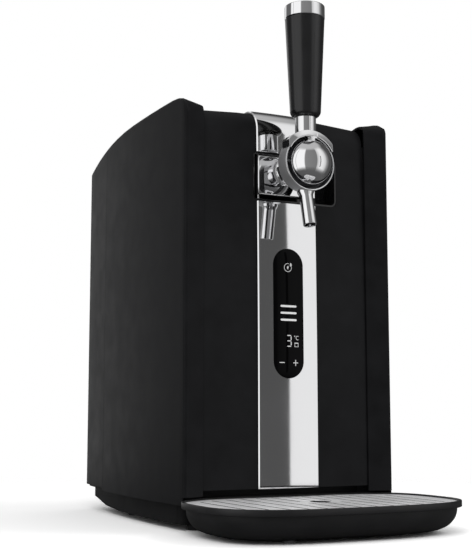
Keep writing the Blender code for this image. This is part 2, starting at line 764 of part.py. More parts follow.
def trim_strips(root):
    """The mirror strip's lower length, and the upper length that wraps over the top edge."""
    outer = GAP + STRIP_THICKNESS
    lower = []
    for share in STRIP_SHARES:
        z = PANEL_BOTTOM + (STRIP_LOWER_TOP - PANEL_BOTTOM) * share
        lower.append((front_y(z), z))
    outline = [(y - outer, z) for y, z in lower] + [(y - GAP, z) for y, z in reversed(lower)]
    strip = prism(outline, "X", -STRIP_HALF_WIDTH, STRIP_HALF_WIDTH)
    strip_lower = add_object("strip_lower", strip, "chrome", root)
    boolean(strip_lower, cutter(prism(stadium(0), "Y", -BAY_DEPTH, BAY_DEPTH), root))
    sections = []
    for share in ACROSS_SHARES:
        sections.append(front_skin(STRIP_HALF_WIDTH * share, outer, GAP, STRIP_UPPER_BOTTOM))
    add_object("strip_upper", loft(sections), "chrome", root)


def leaned(body):
    """Shear a body so that it follows the lean of the front face."""
    for vertex in body.verts:
        vertex.co.y += front_y(vertex.co.z)
    return body


def display(root):
    """The pill-shaped glass in the strip, and its circuit board behind the panel."""
    glass = leaned(prism(stadium(-GAP), "Y", -GAP - STRIP_THICKNESS + GLASS_SINK, -GAP))
    add_object("display_glass", glass, "gloss_black", root)
    front = WALL + GAP
    board = leaned(prism(stadium(BOARD_MARGIN), "Y", front, front + BOARD_THICKNESS))
    board = add_object("display_board", board, "circuit_board", root)
    light_block = leaned(prism(stadium(-DISPLAY_WINDOW_MARGIN - GAP), "Y", 0.0, front + BOARD_THICKNESS / 2))
    boolean(board, cutter(light_block, root), "UNION")


def bay_liner(root):
    """Glossy open box behind the tap door: a finger pocket at its right, a hole for the keg's tube behind."""
    front = front_y(DOOR_MID_Z)
    liner = prism(bay_outline(0), "Y", front, front + BAY_DEPTH)
    liner = add_object("bay_liner", liner, "gloss_black", root)
    hollow = prism(bay_outline(-BAY_WALL), "Y", front - OVERRUN, front + BAY_DEPTH - BAY_WALL)
    boolean(liner, cutter(hollow, root))
    hole = cylinder(TUBE_HOLE_RADIUS, 0, BAY_DEPTH + OVERRUN, PILL_STEPS, (0, front, TAP_Z), "Y")
    boolean(liner, cutter(hole, root))
    low = BAY_BOTTOM + BAY_WALL + GAP
    high = BAY_TOP - BAY_WALL - GAP
    pin = cylinder(DOOR_PIN_RADIUS, low, high, PIN_STEPS, (DOOR_PIN_X, DOOR_PIN_Y, 0))
    add_object("door_pin", pin, "chrome", root)


def tap_door(door):
    """The strip's short length that carries the tap, on a moulded carrier with the hinge bore."""
    low = (-DOOR_LEFT, DOOR_FACE_Y, DOOR_BOTTOM)
    high = (DOOR_RIGHT, DOOR_FACE_Y + STRIP_THICKNESS, DOOR_TOP)
    face = add_object("door_face", box(low, high), "chrome", door)
    carrier_low = (low[0], high[1] + GAP, low[2])
    carrier_high = (high[0], high[1] + GAP + CARRIER_THICKNESS, high[2])
    carrier = add_object("door_carrier", box(carrier_low, carrier_high), "black_plastic", door)
    bore_radius = DOOR_PIN_RADIUS + RUNNING_CLEARANCE
    bore = cylinder(bore_radius, BAY_BOTTOM, BAY_TOP, PIN_STEPS, (DOOR_PIN_X, DOOR_PIN_Y, 0))
    boolean(carrier, cutter(bore, door))
    for piece in (face, carrier):
        tube_hole = cylinder(TUBE_HOLE_RADIUS, 0, 2 * BAY_DEPTH, TURNED_STEPS, (0, -BAY_DEPTH, TAP_Z), "Y")
        boolean(piece, cutter(tube_hole, door))


def sphere_profile(radius, start_deg, end_deg, steps):
    """Points (radius, distance) on a sphere, by the angle from the axis."""
    points = []
    for step in range(steps + 1):
        angle = math.radians(start_deg + (end_deg - start_deg) * step / steps)
        points.append((radius * math.sin(angle), radius * math.cos(angle)))
    return points


def spout_matrix():
    """Places a part turned about Z along the spout, with its start at the ring and Z pointing out."""
    turn = Matrix.Rotation(math.radians(180 - SPOUT_LEAN_DEG), 4, "X")
    return Matrix.Translation((0, SPOUT_ROOT_Y, TAP_Z - RING_RADIUS)) @ turn


def tap_body(door):
    """Ring, spherical socket, shank and rosette in one chrome casting."""
    centre = (0, TAP_PIVOT_Y, TAP_Z)
    socket = BALL_RADIUS + SOCKET_CLEARANCE
    shell = socket + SOCKET_WALL
    end = DOOR_FACE_Y - GAP - TAP_PIVOT_Y
    bore = TUBE_HOLE_RADIUS
    ring_angle = math.degrees(math.acos(RING_BACK / shell))
    shank_angle = math.degrees(math.asin(SHANK_RADIUS / shell))
    bore_angle = math.degrees(math.asin(bore / socket))
    profile = [(RING_LIP_INNER_RADIUS, -RING_LIP_FRONT), (RING_LIP_OUTER_RADIUS, -RING_LIP_FRONT)]
    profile += [(RING_LIP_OUTER_RADIUS, -RING_FRONT), (RING_RADIUS, -RING_FRONT), (RING_RADIUS, RING_BACK)]
    profile += sphere_profile(shell, ring_angle, shank_angle, EDGE_STEPS)
    profile += [(SHANK_RADIUS, end - 2 * ROSETTE_THICKNESS), (ROSETTE_RADIUS, end - ROSETTE_THICKNESS)]
    profile += [(ROSETTE_RADIUS, end), (bore, end)]
    profile += sphere_profile(socket, bore_angle, SOCKET_MOUTH_DEG, CORNER_STEPS)
    casting = turned(profile, TURNED_STEPS, centre, "Y")
    casting = add_object("tap_body", casting, "chrome", door)
    passage = cylinder(SPOUT_BORE_RADIUS, -RING_RADIUS / 2, OVERRUN, PILL_STEPS, (0, 0, 0))
    bmesh.ops.transform(passage, matrix=spout_matrix(), verts=passage.verts)
    boolean(casting, cutter(passage, door))
    pin_bore = PIVOT_PIN_HALF_LENGTH + GAP
    hole = cylinder(PIVOT_PIN_RADIUS + RUNNING_CLEARANCE, -pin_bore, pin_bore, PIN_STEPS, centre, "X")
    boolean(casting, cutter(hole, door))
    pin = cylinder(PIVOT_PIN_RADIUS, -PIVOT_PIN_HALF_LENGTH, PIVOT_PIN_HALF_LENGTH, PIN_STEPS, centre, "X")
    add_object("tap_pivot_pin", pin, "chrome", door)


def spout(door):
    """Leaning open tube whose root follows the ring."""
    sink = SPOUT_ROOT_LENGTH
    profile = [
        (SPOUT_BORE_RADIUS, -sink),
        (SPOUT_ROOT_RADIUS, -sink),
        (SPOUT_ROOT_RADIUS, 0),
        ((SPOUT_ROOT_RADIUS + SPOUT_RADIUS) / 2 - GAP, SPOUT_ROOT_LENGTH / 3),
        (SPOUT_RADIUS, SPOUT_ROOT_LENGTH),
        (SPOUT_RADIUS, SPOUT_LENGTH),
        (SPOUT_BORE_RADIUS, SPOUT_LENGTH),
    ]
    tube = turned(profile, 2 * PILL_STEPS, (0, 0, 0))
    bmesh.ops.transform(tube, matrix=spout_matrix(), verts=tube.verts)
    tube = add_object("spout", tube, "chrome", door)
    reach = RING_RADIUS
    ring = cylinder(RING_RADIUS + GAP, -reach, reach, 2 * TURNED_STEPS, (0, TAP_PIVOT_Y, TAP_Z), "Y")
    boolean(tube, cutter(ring, door))


def pincher(slide):
    """Hollow plug in the shank that squeezes the keg's tube against the ball."""
    front = BALL_RADIUS + 2 * GAP
    outer = TUBE_HOLE_RADIUS - RUNNING_CLEARANCE
    profile = [
        (PINCHER_BORE_RADIUS, front),
        (outer, front),
        (outer, front + PINCHER_LENGTH),
        (PINCHER_BORE_RADIUS, front + PINCHER_LENGTH),
    ]
    plug = turned(profile, TURNED_STEPS, (0, TAP_PIVOT_Y, TAP_Z), "Y")
    add_object("tube_pincher", plug, "grey_plastic", slide)


def tap_ball(lever):
    """Polished ball that turns in the socket with the lever."""
    centre = (0, TAP_PIVOT_Y, TAP_Z)
    profile = sphere_profile(BALL_RADIUS, 0, 180, TURNED_STEPS // 2)
    profile[0] = (0, BALL_RADIUS)
    profile[-1] = (0, -BALL_RADIUS)
    ball = add_object("tap_ball", turned(profile, TURNED_STEPS, centre, "Y"), "chrome", lever)
    reach = RING_RADIUS
    hole = cylinder(PIVOT_PIN_RADIUS + RUNNING_CLEARANCE, -reach, reach, PIN_STEPS, centre, "X")
    boolean(ball, cutter(hole, lever))


def tap_yoke(lever):
    """Saddle over the ring, with the tongue that holds the ball and the round neck."""
    low = 90 - YOKE_HALF_ANGLE_DEG
    high = 90 + YOKE_HALF_ANGLE_DEG
    flange_back = YOKE_FRONT_Y + YOKE_FLANGE_THICKNESS
    sections = []
    for radius, y in (
        (YOKE_FLANGE_RADIUS, YOKE_FRONT_Y),
        (YOKE_OUTER_RADIUS, YOKE_FRONT_Y),
        (YOKE_OUTER_RADIUS, YOKE_BACK_Y),
        (YOKE_INNER_RADIUS, YOKE_BACK_Y),
        (YOKE_INNER_RADIUS, flange_back),
        (YOKE_FLANGE_RADIUS, flange_back),
    ):
        sections.append([(x, y, z) for x, z in arc((0, TAP_Z), radius, low, high, YOKE_STEPS)])
    saddle = loft([[row[step] for row in sections] for step in range(YOKE_STEPS + 1)])
    yoke = add_object("tap_yoke", saddle, "chrome", lever)
    middle = (YOKE_INNER_RADIUS + YOKE_OUTER_RADIUS) / 2
    neck = cylinder(NECK_RADIUS, TAP_Z + middle, HANDLE_BOTTOM - GAP, TURNED_STEPS, (0, LEVER_Y, 0))
    boolean(yoke, cutter(neck, lever), "UNION")
    tongue_low = (-TONGUE_HALF_WIDTH, YOKE_FRONT_Y, TAP_Z + BALL_RADIUS / 2)
    tongue_high = (TONGUE_HALF_WIDTH, flange_back, TAP_Z + YOKE_INNER_RADIUS)
    boolean(yoke, cutter(box(tongue_low, tongue_high), lever), "UNION")
    profile = sphere_profile(BALL_RADIUS + GAP, 0, 180, TURNED_STEPS // 2)
    profile[0] = (0, BALL_RADIUS + GAP)
    profile[-1] = (0, -BALL_RADIUS - GAP)
    clear = turned(profile, TURNED_STEPS, (0, TAP_PIVOT_Y, TAP_Z), "Y")
    boolean(yoke, cutter(clear, lever))


def tap_handle(lever):
    """Tapered grip with a rounded lower end, and its chrome cap."""
    end = HANDLE_END_RADIUS
    centre = (HANDLE_BOTTOM_RADIUS - end, HANDLE_BOTTOM + end)
    profile = [(0, HANDLE_BOTTOM)] + arc(centre, end, 270, 360, HANDLE_END_STEPS)
    profile.append((HANDLE_TOP_RADIUS, HANDLE_TOP - CAP_EDGE))
    profile += [(HANDLE_TOP_RADIUS - CAP_EDGE, HANDLE_TOP), (0, HANDLE_TOP)]
    grip = turned(profile, TURNED_STEPS, (0, LEVER_Y, 0))
    add_object("tap_handle", grip, "gloss_black", lever)
    low = HANDLE_TOP + GAP
    profile = [(0, low), (CAP_RADIUS - CAP_EDGE, low), (CAP_RADIUS, low + CAP_EDGE)]
    profile += [(CAP_RADIUS, CAP_TOP - CAP_EDGE), (CAP_RADIUS - CAP_EDGE, CAP_TOP), (0, CAP_TOP + CAP_DOME)]
    add_object("tap_cap", turned(profile, TURNED_STEPS, (0, LEVER_Y, 0)), "chrome", lever)


def lid_section(y, wall, bottom, ceiling=None):
    """One section of the lid cover. A ceiling caps its height where the rear end is rolled."""
    across = LID_HALF_WIDTH - wall
    top = []
    for share in reversed(ACROSS_SHARES):
        height = lid_top(share * across, y) - wall
        top.append((share * across, height if ceiling is None else min(height, ceiling)))
    return [(x, y, z) for x, z in [(-across, bottom), (across, bottom)] + top]


def lid(lid_empty, root):
    """Crowned cover with a rolled rear edge, liner with its plug, gasket and front catch."""
    sections = []
    for share in LID_SHARES:
        y = LID_FRONT_Y + (LID_HINGE_Y - LID_FRONT_Y) * share
        sections.append(lid_section(y, 0, LID_SKIRT_BOTTOM))
    for angle in LID_ROLL_STEPS_DEG:
        reach = LID_ROLL_RADIUS * math.sin(math.radians(angle))
        rise = LID_ROLL_RADIUS * math.cos(math.radians(angle))
        low = max(LID_SKIRT_BOTTOM, LID_HINGE_Z - rise)
        sections.append(lid_section(LID_HINGE_Y + reach, 0, low, LID_HINGE_Z + rise))
    cover = add_object("lid_cover", loft(sections), "black_plastic", lid_empty)
    inner_low = LID_FRONT_Y + LID_WALL
    hollow = []
    for share in (*LID_SHARES, 1.0):
        y = inner_low + (LID_HINGE_Y - inner_low) * share
        hollow.append(lid_section(y, LID_WALL, LID_SKIRT_BOTTOM - OVERRUN))
    hollow = loft(hollow)
    boolean(cover, cutter(hollow, lid_empty))
    place = (0, LID_HINGE_Y, LID_HINGE_Z)
    bore_radius = LID_PIN_RADIUS + RUNNING_CLEARANCE
    bore = cylinder(bore_radius, -BODY_HALF_WIDTH, BODY_HALF_WIDTH, PIN_STEPS, place, "X")
    boolean(cover, cutter(bore, lid_empty))
    for name, sign in (("left", -1), ("right", 1)):
        ends = sorted((sign * LID_PIN_INNER_X, sign * (LID_EAR_OUTER_X - GAP)))
        pin = cylinder(LID_PIN_RADIUS, *ends, PIN_STEPS, place, "X")
        add_object("lid_pin_" + name, pin, "chrome", root)

    plate_low = LINER_TOP - LINER_THICKNESS
    edge = LID_WALL + GAP
    plate = box(
        (-LID_HALF_WIDTH + edge, LID_FRONT_Y + edge, plate_low),
        (LID_HALF_WIDTH - edge, LID_HINGE_Y - GAP, LINER_TOP),
    )
    liner = add_object("lid_liner", plate, "grey_plastic", lid_empty)
    for sign in (-1, 1):
        ends = sorted((sign * (LID_PIN_INNER_X - OVERRUN), sign * LID_EAR_OUTER_X))
        clear_low = (ends[0], LID_HINGE_Y - LID_EAR_HALF_DEPTH, plate_low - OVERRUN)
        clear_high = (ends[1], BODY_DEPTH, LINER_TOP + OVERRUN)
        boolean(liner, cutter(box(clear_low, clear_high), lid_empty))
    plug_radius = CHAMBER_RADIUS - PLUG_CLEARANCE
    plug_low = plate_low - LINER_PLUG_DEPTH
    plug = cylinder(plug_radius, plug_low, plate_low + LINER_THICKNESS / 2, CHAMBER_STEPS, (0, CHAMBER_Y, 0))
    boolean(liner, cutter(plug, lid_empty), "UNION")

    seal_low = plate_low - GAP - GASKET_THICKNESS
    seal_in = CHAMBER_RADIUS + GAP
    seal_out = seal_in + GASKET_WIDTH
    seal_high = plate_low - GAP
    profile = [(seal_in, seal_low), (seal_out, seal_low), (seal_out, seal_high), (seal_in, seal_high)]
    add_object("lid_gasket", turned(profile, CHAMBER_STEPS, (0, CHAMBER_Y, 0)), "rubber", lid_empty)

    catch_y = LID_FRONT_Y + edge + GAP
    outline = [
        (catch_y, plate_low - GAP),
        (catch_y, plate_low - CATCH_DEPTH),
        (catch_y + CATCH_THICKNESS + CATCH_HOOK, plate_low - CATCH_DEPTH),
        (catch_y + CATCH_THICKNESS, plate_low - CATCH_DEPTH + 2 * CATCH_HOOK),
        (catch_y + CATCH_THICKNESS, plate_low - GAP),
    ]
    catch = prism(outline, "X", -CATCH_HALF_WIDTH, CATCH_HALF_WIDTH)
    add_object("lid_catch", catch, "grey_plastic", lid_empty)


def top_deck(root):
    """Deck round the chamber's mouth, carried between the side panels' walls."""
    low = DECK_TOP - DECK_THICKNESS
    front = front_y(PANEL_ARC_START_Z) + WALL + 3 * DECK_SIDE_GAP
    rear = SIDE_SEAM_Y - GAP
    right = []
    for share in DECK_SHARES:
        y = front + (rear - front) * share
        right.append((half_width(y) - WALL - DECK_SIDE_GAP, y))
    front_half = PANEL_HALF_WIDTH - DECK_SIDE_GAP
    outline = [(front_half, front), (right[1][0], front + PANEL_TOP_RADIUS)] + right[1:]
    outline += [(-x, y) for x, y in reversed(outline)]
    deck = add_object("top_deck", prism(outline, "Z", low, DECK_TOP), "grey_plastic", root)
    hole_radius = CHAMBER_RADIUS + TUB_WALL + GAP
    hole = cylinder(hole_radius, low - OVERRUN, DECK_TOP + OVERRUN, CHAMBER_STEPS, (0, CHAMBER_Y, 0))
    boolean(deck, cutter(hole, root))
    catch_y = LID_FRONT_Y + LID_WALL
    slot_low = (-CATCH_HALF_WIDTH - OVERRUN, catch_y - OVERRUN, low - OVERRUN)
    slot_back = catch_y + CATCH_THICKNESS + CATCH_HOOK + OVERRUN
    slot_high = (CATCH_HALF_WIDTH + OVERRUN, slot_back, DECK_TOP + OVERRUN)
    boolean(deck, cutter(box(slot_low, slot_high), root))
    place = (0, LID_HINGE_Y, LID_HINGE_Z)
    for sign in (-1, 1):
        inner, outer = sorted((sign * LID_EAR_INNER_X, sign * LID_EAR_OUTER_X))
        ear_low = (inner, LID_HINGE_Y - LID_EAR_HALF_DEPTH, DECK_TOP - DECK_THICKNESS / 2)
        ear = box(ear_low, (outer, LID_HINGE_Y + LID_EAR_HALF_DEPTH, LID_EAR_TOP))
        boolean(deck, cutter(ear, root), "UNION")
    bore_radius = LID_PIN_RADIUS + RUNNING_CLEARANCE
    bore = cylinder(bore_radius, -BODY_HALF_WIDTH, BODY_HALF_WIDTH, PIN_STEPS, place, "X")
    boolean(deck, cutter(bore, root))


def chamber(root):
    """Aluminium tub with its flange, foam round it, keg seat and air coupler in its floor."""
    centre = (0, CHAMBER_Y, 0)
    outer = CHAMBER_RADIUS + TUB_WALL
    flange_low = DECK_TOP + GAP
    flange_high = flange_low + TUB_FLANGE_THICKNESS
    bore = COUPLER_RADIUS + GAP
    profile = [
        (bore, TUB_BOTTOM),
        (outer, TUB_BOTTOM),
        (outer, flange_low),
        (TUB_FLANGE_RADIUS, flange_low),
        (TUB_FLANGE_RADIUS, flange_high),
        (CHAMBER_RADIUS, flange_high),
        (CHAMBER_RADIUS, TUB_BOTTOM + TUB_WALL),
        (bore, TUB_BOTTOM + TUB_WALL),
    ]
    add_object("cooling_tub", turned(profile, CHAMBER_STEPS, centre), "aluminium", root)

    foam_in = outer + GAP
    foam_out = foam_in + FOAM_THICKNESS
    foam_top = DECK_TOP - DECK_THICKNESS - GAP
    foam_low = TUB_BOTTOM - FOAM_FLOOR
    profile = [
        (COUPLER_FLANGE_RADIUS + GAP, foam_low),
        (foam_out, foam_low),
        (foam_out, foam_top),
        (foam_in, foam_top),
        (foam_in, TUB_BOTTOM - GAP),
        (COUPLER_FLANGE_RADIUS + GAP, TUB_BOTTOM - GAP),
    ]
    foam = add_object("tub_insulation", turned(profile, CHAMBER_STEPS, centre), "foam", root)
    half_height = COLD_BLOCK_HEIGHT / 2 + GAP
    window_low = (-COLD_BLOCK_HALF_WIDTH - GAP, CHAMBER_Y + foam_in / 2, ENGINE_Z - half_height)
    window_high = (COLD_BLOCK_HALF_WIDTH + GAP, MODULE_Y, ENGINE_Z + half_height)
    boolean(foam, cutter(box(window_low, window_high), root))
    catch_back = LID_FRONT_Y + 2 * LID_WALL + CATCH_THICKNESS + CATCH_HOOK
    notch_low = (-CATCH_HALF_WIDTH - OVERRUN, 0, LINER_TOP - LINER_THICKNESS - CATCH_DEPTH - OVERRUN)
    notch_high = (CATCH_HALF_WIDTH + OVERRUN, catch_back, DECK_TOP)
    boolean(foam, cutter(box(notch_low, notch_high), root))

    seat_low = TUB_BOTTOM + TUB_WALL + GAP
    profile = [
        (SEAT_BORE_RADIUS, seat_low),
        (SEAT_RADIUS, seat_low),
        (SEAT_RADIUS - SEAT_THICKNESS, seat_low + SEAT_THICKNESS),
        (SEAT_BORE_RADIUS, seat_low + SEAT_THICKNESS / 2),
    ]
    add_object("keg_seat", turned(profile, CHAMBER_STEPS, centre), "rubber", root)

    flange_top = TUB_BOTTOM - GAP
    flange_bottom = flange_top - COUPLER_FLANGE_THICKNESS
    tip = TUB_BOTTOM + COUPLER_TOP_RISE
    profile = [
        (COUPLER_BARB_RADIUS / 2, flange_bottom - COUPLER_BARB_LENGTH),
        (COUPLER_BARB_RADIUS, flange_bottom - COUPLER_BARB_LENGTH),
        (COUPLER_BARB_RADIUS, flange_bottom),
        (COUPLER_FLANGE_RADIUS, flange_bottom),
        (COUPLER_FLANGE_RADIUS, flange_top),
        (COUPLER_RADIUS, flange_top),
        (COUPLER_RADIUS, tip - COUPLER_RADIUS / 2),
        (COUPLER_RADIUS / 2, tip),
        (COUPLER_BARB_RADIUS / 2, tip),
    ]
    add_object("air_coupler", turned(profile, SCREW_STEPS, centre), "grey_plastic", root)


def base_bottom(y):
    """Underside of the base pan, which lifts towards the rear."""
    along = max(0.0, y - BASE_RISE_START_Y) / (BASE_REAR_Y - BASE_RISE_START_Y)
    return BASE_BOTTOM + BASE_REAR_RISE * along**2


def base_section(y, inset, wall, top):
    """One section of the base pan."""
    across = half_width(y) - BASE_INSET - inset - wall
    low = base_bottom(y) + wall
    return [(-across, y, low), (across, y, low), (across, y, top), (-across, y, top)]


def base_pan(root):
    """Recessed plinth that carries the casing, the foam's cradle and the tray's slots."""
    top = SIDE_BOTTOM - GAP
    sections = []
    straight_low = BASE_FRONT_Y + BASE_CORNER_RADIUS
    straight_high = BASE_REAR_Y - BASE_CORNER_RADIUS
    for step in range(CORNER_STEPS + 1):
        angle = math.radians(90 * step / CORNER_STEPS)
        inset = BASE_CORNER_RADIUS * (1 - math.sin(angle))
        sections.append(base_section(straight_low - BASE_CORNER_RADIUS * math.cos(angle), inset, 0, top))
    for share in BASE_SHARES:
        y = straight_low + (straight_high - straight_low) * share
        sections.append(base_section(y, 0, 0, top))
    for step in range(CORNER_STEPS + 1):
        angle = math.radians(90 * step / CORNER_STEPS)
        inset = BASE_CORNER_RADIUS * (1 - math.cos(angle))
        sections.append(base_section(straight_high + BASE_CORNER_RADIUS * math.sin(angle), inset, 0, top))
    pan = add_object("base_pan", loft(sections), "black_plastic", root)
    front = TRAY_BACK + TRAY_CLEARANCE + BASE_WALL
    rear = BASE_REAR_Y - BASE_CORNER_RADIUS
    hollow = []
    for share in BASE_HOLLOW_SHARES:
        y = front + (rear - front) * share
        hollow.append(base_section(y, 0, BASE_WALL, top + OVERRUN))
    boolean(pan, cutter(loft(hollow), root))
    upstand_low = (-PANEL_HALF_WIDTH, front - BASE_WALL, top - BASE_WALL)
    upstand = box(upstand_low, (PANEL_HALF_WIDTH, front, BASE_UPSTAND_TOP))
    boolean(pan, cutter(upstand, root), "UNION")
    boolean(pan, tray_clearance(root))
    foam_low = TUB_BOTTOM - FOAM_FLOOR - GAP
    floor = BASE_BOTTOM + BASE_WALL
    cradle = turned(
        [
            (FOAM_CRADLE_RADIUS, floor - BASE_WALL / 2),
            (FOAM_CRADLE_RADIUS + FOAM_CRADLE_WALL, floor - BASE_WALL / 2),
            (FOAM_CRADLE_RADIUS + FOAM_CRADLE_WALL, foam_low),
            (FOAM_CRADLE_RADIUS, foam_low),
        ],
        TURNED_STEPS,
        (0, CHAMBER_Y, 0),
    )
    boolean(pan, cutter(cradle, root), "UNION")
    slots = []
    for x in (-TRAY_TONGUE_X, TRAY_TONGUE_X):
        across = TRAY_TONGUE_HALF_WIDTH + TONGUE_SLOT_CLEARANCE
        low = (x - across, TRAY_BACK - OVERRUN, TRAY_TONGUE_BOTTOM - TONGUE_SLOT_CLEARANCE)
        high = (x + across, front + OVERRUN, TRAY_TONGUE_BOTTOM + TRAY_TONGUE_HEIGHT + TONGUE_SLOT_CLEARANCE)
        slots.append(box(low, high))
    boolean(pan, cutter(merge(slots), root))
    boolean(pan, cutter(merge([foot_body(x, y, GAP) for _, x, y in foot_places()]), root))
    return pan


def foot_places():
    """Names and places of the four feet."""
    places = []
    for side, sign in (("left", -1), ("right", 1)):
        places.append(("foot_front_" + side, sign * FRONT_FOOT_X, FRONT_FOOT_Y))
        places.append(("foot_rear_" + side, sign * REAR_FOOT_X, REAR_FOOT_Y))
    return places


def foot_body(x, y, clearance):
    """A round foot pressed into a socket under the base pan."""
    top = base_bottom(y) + FOOT_SINK + clearance
    low = 0.0 if clearance == 0 else -OVERRUN
    return cylinder(FOOT_RADIUS + clearance, low, top, 2 * SCREW_STEPS, (x, y, 0))


def feet(root):
    """Four rubber feet."""
    for name, x, y in foot_places():
        add_object(name, foot_body(x, y, 0), "rubber", root)


def drip_tray(tray):
    """Bowl with a rounded underside, overhanging rim and grille ledge, its tongues and two front pads."""
    rim_low = TRAY_TOP - TRAY_RIM_HEIGHT
    ledge_z = TRAY_TOP - GRILLE_SINK - GRILLE_THICKNESS - GAP
    reach = TRAY_FLOOR_INSET - TRAY_RIM_OVERHANG
    rings = []
    for out_share, up_share in BULGE_SHARES:
        inset = TRAY_FLOOR_INSET - reach * out_share
        rings.append(tray_outline(inset, TRAY_BOTTOM + (rim_low - TRAY_BOTTOM) * up_share))
    rings += [tray_outline(0, rim_low), tray_outline(0, TRAY_TOP)]
    rings += [tray_outline(TRAY_RIM_WIDTH, TRAY_TOP), tray_outline(TRAY_RIM_WIDTH, ledge_z)]
    inner_inset = TRAY_RIM_WIDTH + GRILLE_LEDGE
    rings.append(tray_outline(inner_inset, ledge_z))
    inner_reach = TRAY_FLOOR_INSET - inner_inset
    floor = TRAY_BOTTOM + TRAY_WALL
    for out_share, up_share in reversed(BULGE_SHARES):
        inset = TRAY_FLOOR_INSET + TRAY_WALL - inner_reach * out_share
        rings.append(tray_outline(inset, floor + (rim_low - floor) * up_share))
    bowl = add_object("tray_bowl", loft(rings), "black_plastic", tray)
    wall_y = TRAY_BACK - TRAY_RIM_OVERHANG - TRAY_WALL
    for x in (-TRAY_TONGUE_X, TRAY_TONGUE_X):
        low = (x - TRAY_TONGUE_HALF_WIDTH, wall_y, TRAY_TONGUE_BOTTOM)
        high = (
            x + TRAY_TONGUE_HALF_WIDTH,
            TRAY_BACK + TRAY_TONGUE_REACH,
            TRAY_TONGUE_BOTTOM + TRAY_TONGUE_HEIGHT,
        )
        boolean(bowl, cutter(box(low, high), tray), "UNION")
    for name, x in (("left", -TRAY_FOOT_X), ("right", TRAY_FOOT_X)):
        pad = cylinder(TRAY_FOOT_RADIUS, 0, TRAY_BOTTOM - GAP, SCREW_STEPS, (x, TRAY_FOOT_Y, 0))
        add_object("tray_pad_" + name, pad, "rubber", tray)


def grille_slots():
    """Two rows of round-ended slots that follow the tray's outline, and the round hole between them."""
    outline = tray_outline(TRAY_RIM_WIDTH + GRILLE_MARGIN, 0)
    reach = TRAY_HALF_WIDTH - TRAY_RIM_WIDTH - GRILLE_MARGIN
    columns = int(reach / GRILLE_SLOT_PITCH)
    radius = GRILLE_SLOT_WIDTH / 2
    low_z = TRAY_TOP - GRILLE_SINK - GRILLE_THICKNESS - OVERRUN
    slots = []
    for column in range(-columns, columns + 1):
        x = column * GRILLE_SLOT_PITCH
        near = sorted(outline, key=lambda point: abs(point[0] - x))[:4]
        back = max(point[1] for point in near) - radius
        front = min(point[1] for point in near) + radius
        bar_edge = GRILLE_BAR / 2 + radius
        for start, end in ((GRILLE_BAR_Y + bar_edge, back), (front, GRILLE_BAR_Y - bar_edge)):
            ends = arc((x, end), radius, 0, 180, EDGE_STEPS) + arc((x, start), radius, 180, 360, EDGE_STEPS)
            slots.append(prism(ends, "Z", low_z, TRAY_TOP + OVERRUN))
    return merge(slots)


def drip_grille(grille):
    """Polished slotted plate that drops into the tray."""
    low = TRAY_TOP - GRILLE_SINK - GRILLE_THICKNESS
    inset = TRAY_RIM_WIDTH + GAP
    plate = loft([tray_outline(inset, low), tray_outline(inset, TRAY_TOP - GRILLE_SINK)])
    plate = add_object("drip_grille", plate, "chrome", grille)
    boolean(plate, cutter(grille_slots(), grille))
    place = (0, GRILLE_BAR_Y, 0)
    hole = cylinder(GRILLE_HOLE_RADIUS, low - OVERRUN, TRAY_TOP + OVERRUN, GRILLE_HOLE_STEPS, place)
    boolean(plate, cutter(hole, grille))


def cooling_engine(root):
    """Cold block against the tub, thermoelectric module and finned heat sink."""
    outer = CHAMBER_RADIUS + TUB_WALL
    half_height = COLD_BLOCK_HEIGHT / 2
    block = box(
        (-COLD_BLOCK_HALF_WIDTH, CHAMBER_Y + outer / 2, ENGINE_Z - half_height),
        (COLD_BLOCK_HALF_WIDTH, MODULE_Y - GAP, ENGINE_Z + half_height),
    )
    block = add_object("cold_block", block, "aluminium", root)
    tub = cylinder(outer + GAP, 0, BODY_TOP, 2 * CHAMBER_STEPS, (0, CHAMBER_Y, 0))
    boolean(block, cutter(tub, root))
    half = MODULE_SIZE / 2
    module = box((-half, MODULE_Y, ENGINE_Z - half), (half, MODULE_Y + MODULE_THICKNESS, ENGINE_Z + half))
    add_object("thermoelectric_module", module, "grey_plastic", root)

    back = MODULE_Y + MODULE_THICKNESS + GAP
    pitch = (2 * SINK_HALF_WIDTH - SINK_FIN_THICKNESS) / (SINK_FINS - 1)
    outline = [(-SINK_HALF_WIDTH, back), (SINK_HALF_WIDTH, back)]
    for fin in reversed(range(SINK_FINS)):
        left = -SINK_HALF_WIDTH + pitch * fin
        right = left + SINK_FIN_THICKNESS
        if right < SINK_HALF_WIDTH - pitch / 2:
            outline.append((right, back + SINK_BASE))
        outline += [(right, back + SINK_DEPTH), (left, back + SINK_DEPTH)]
        if fin:
            outline.append((left, back + SINK_BASE))
    half_sink = SINK_HEIGHT / 2
    add_object("heat_sink", prism(outline, "Z", SINK_Z - half_sink, SINK_Z + half_sink), "aluminium", root)


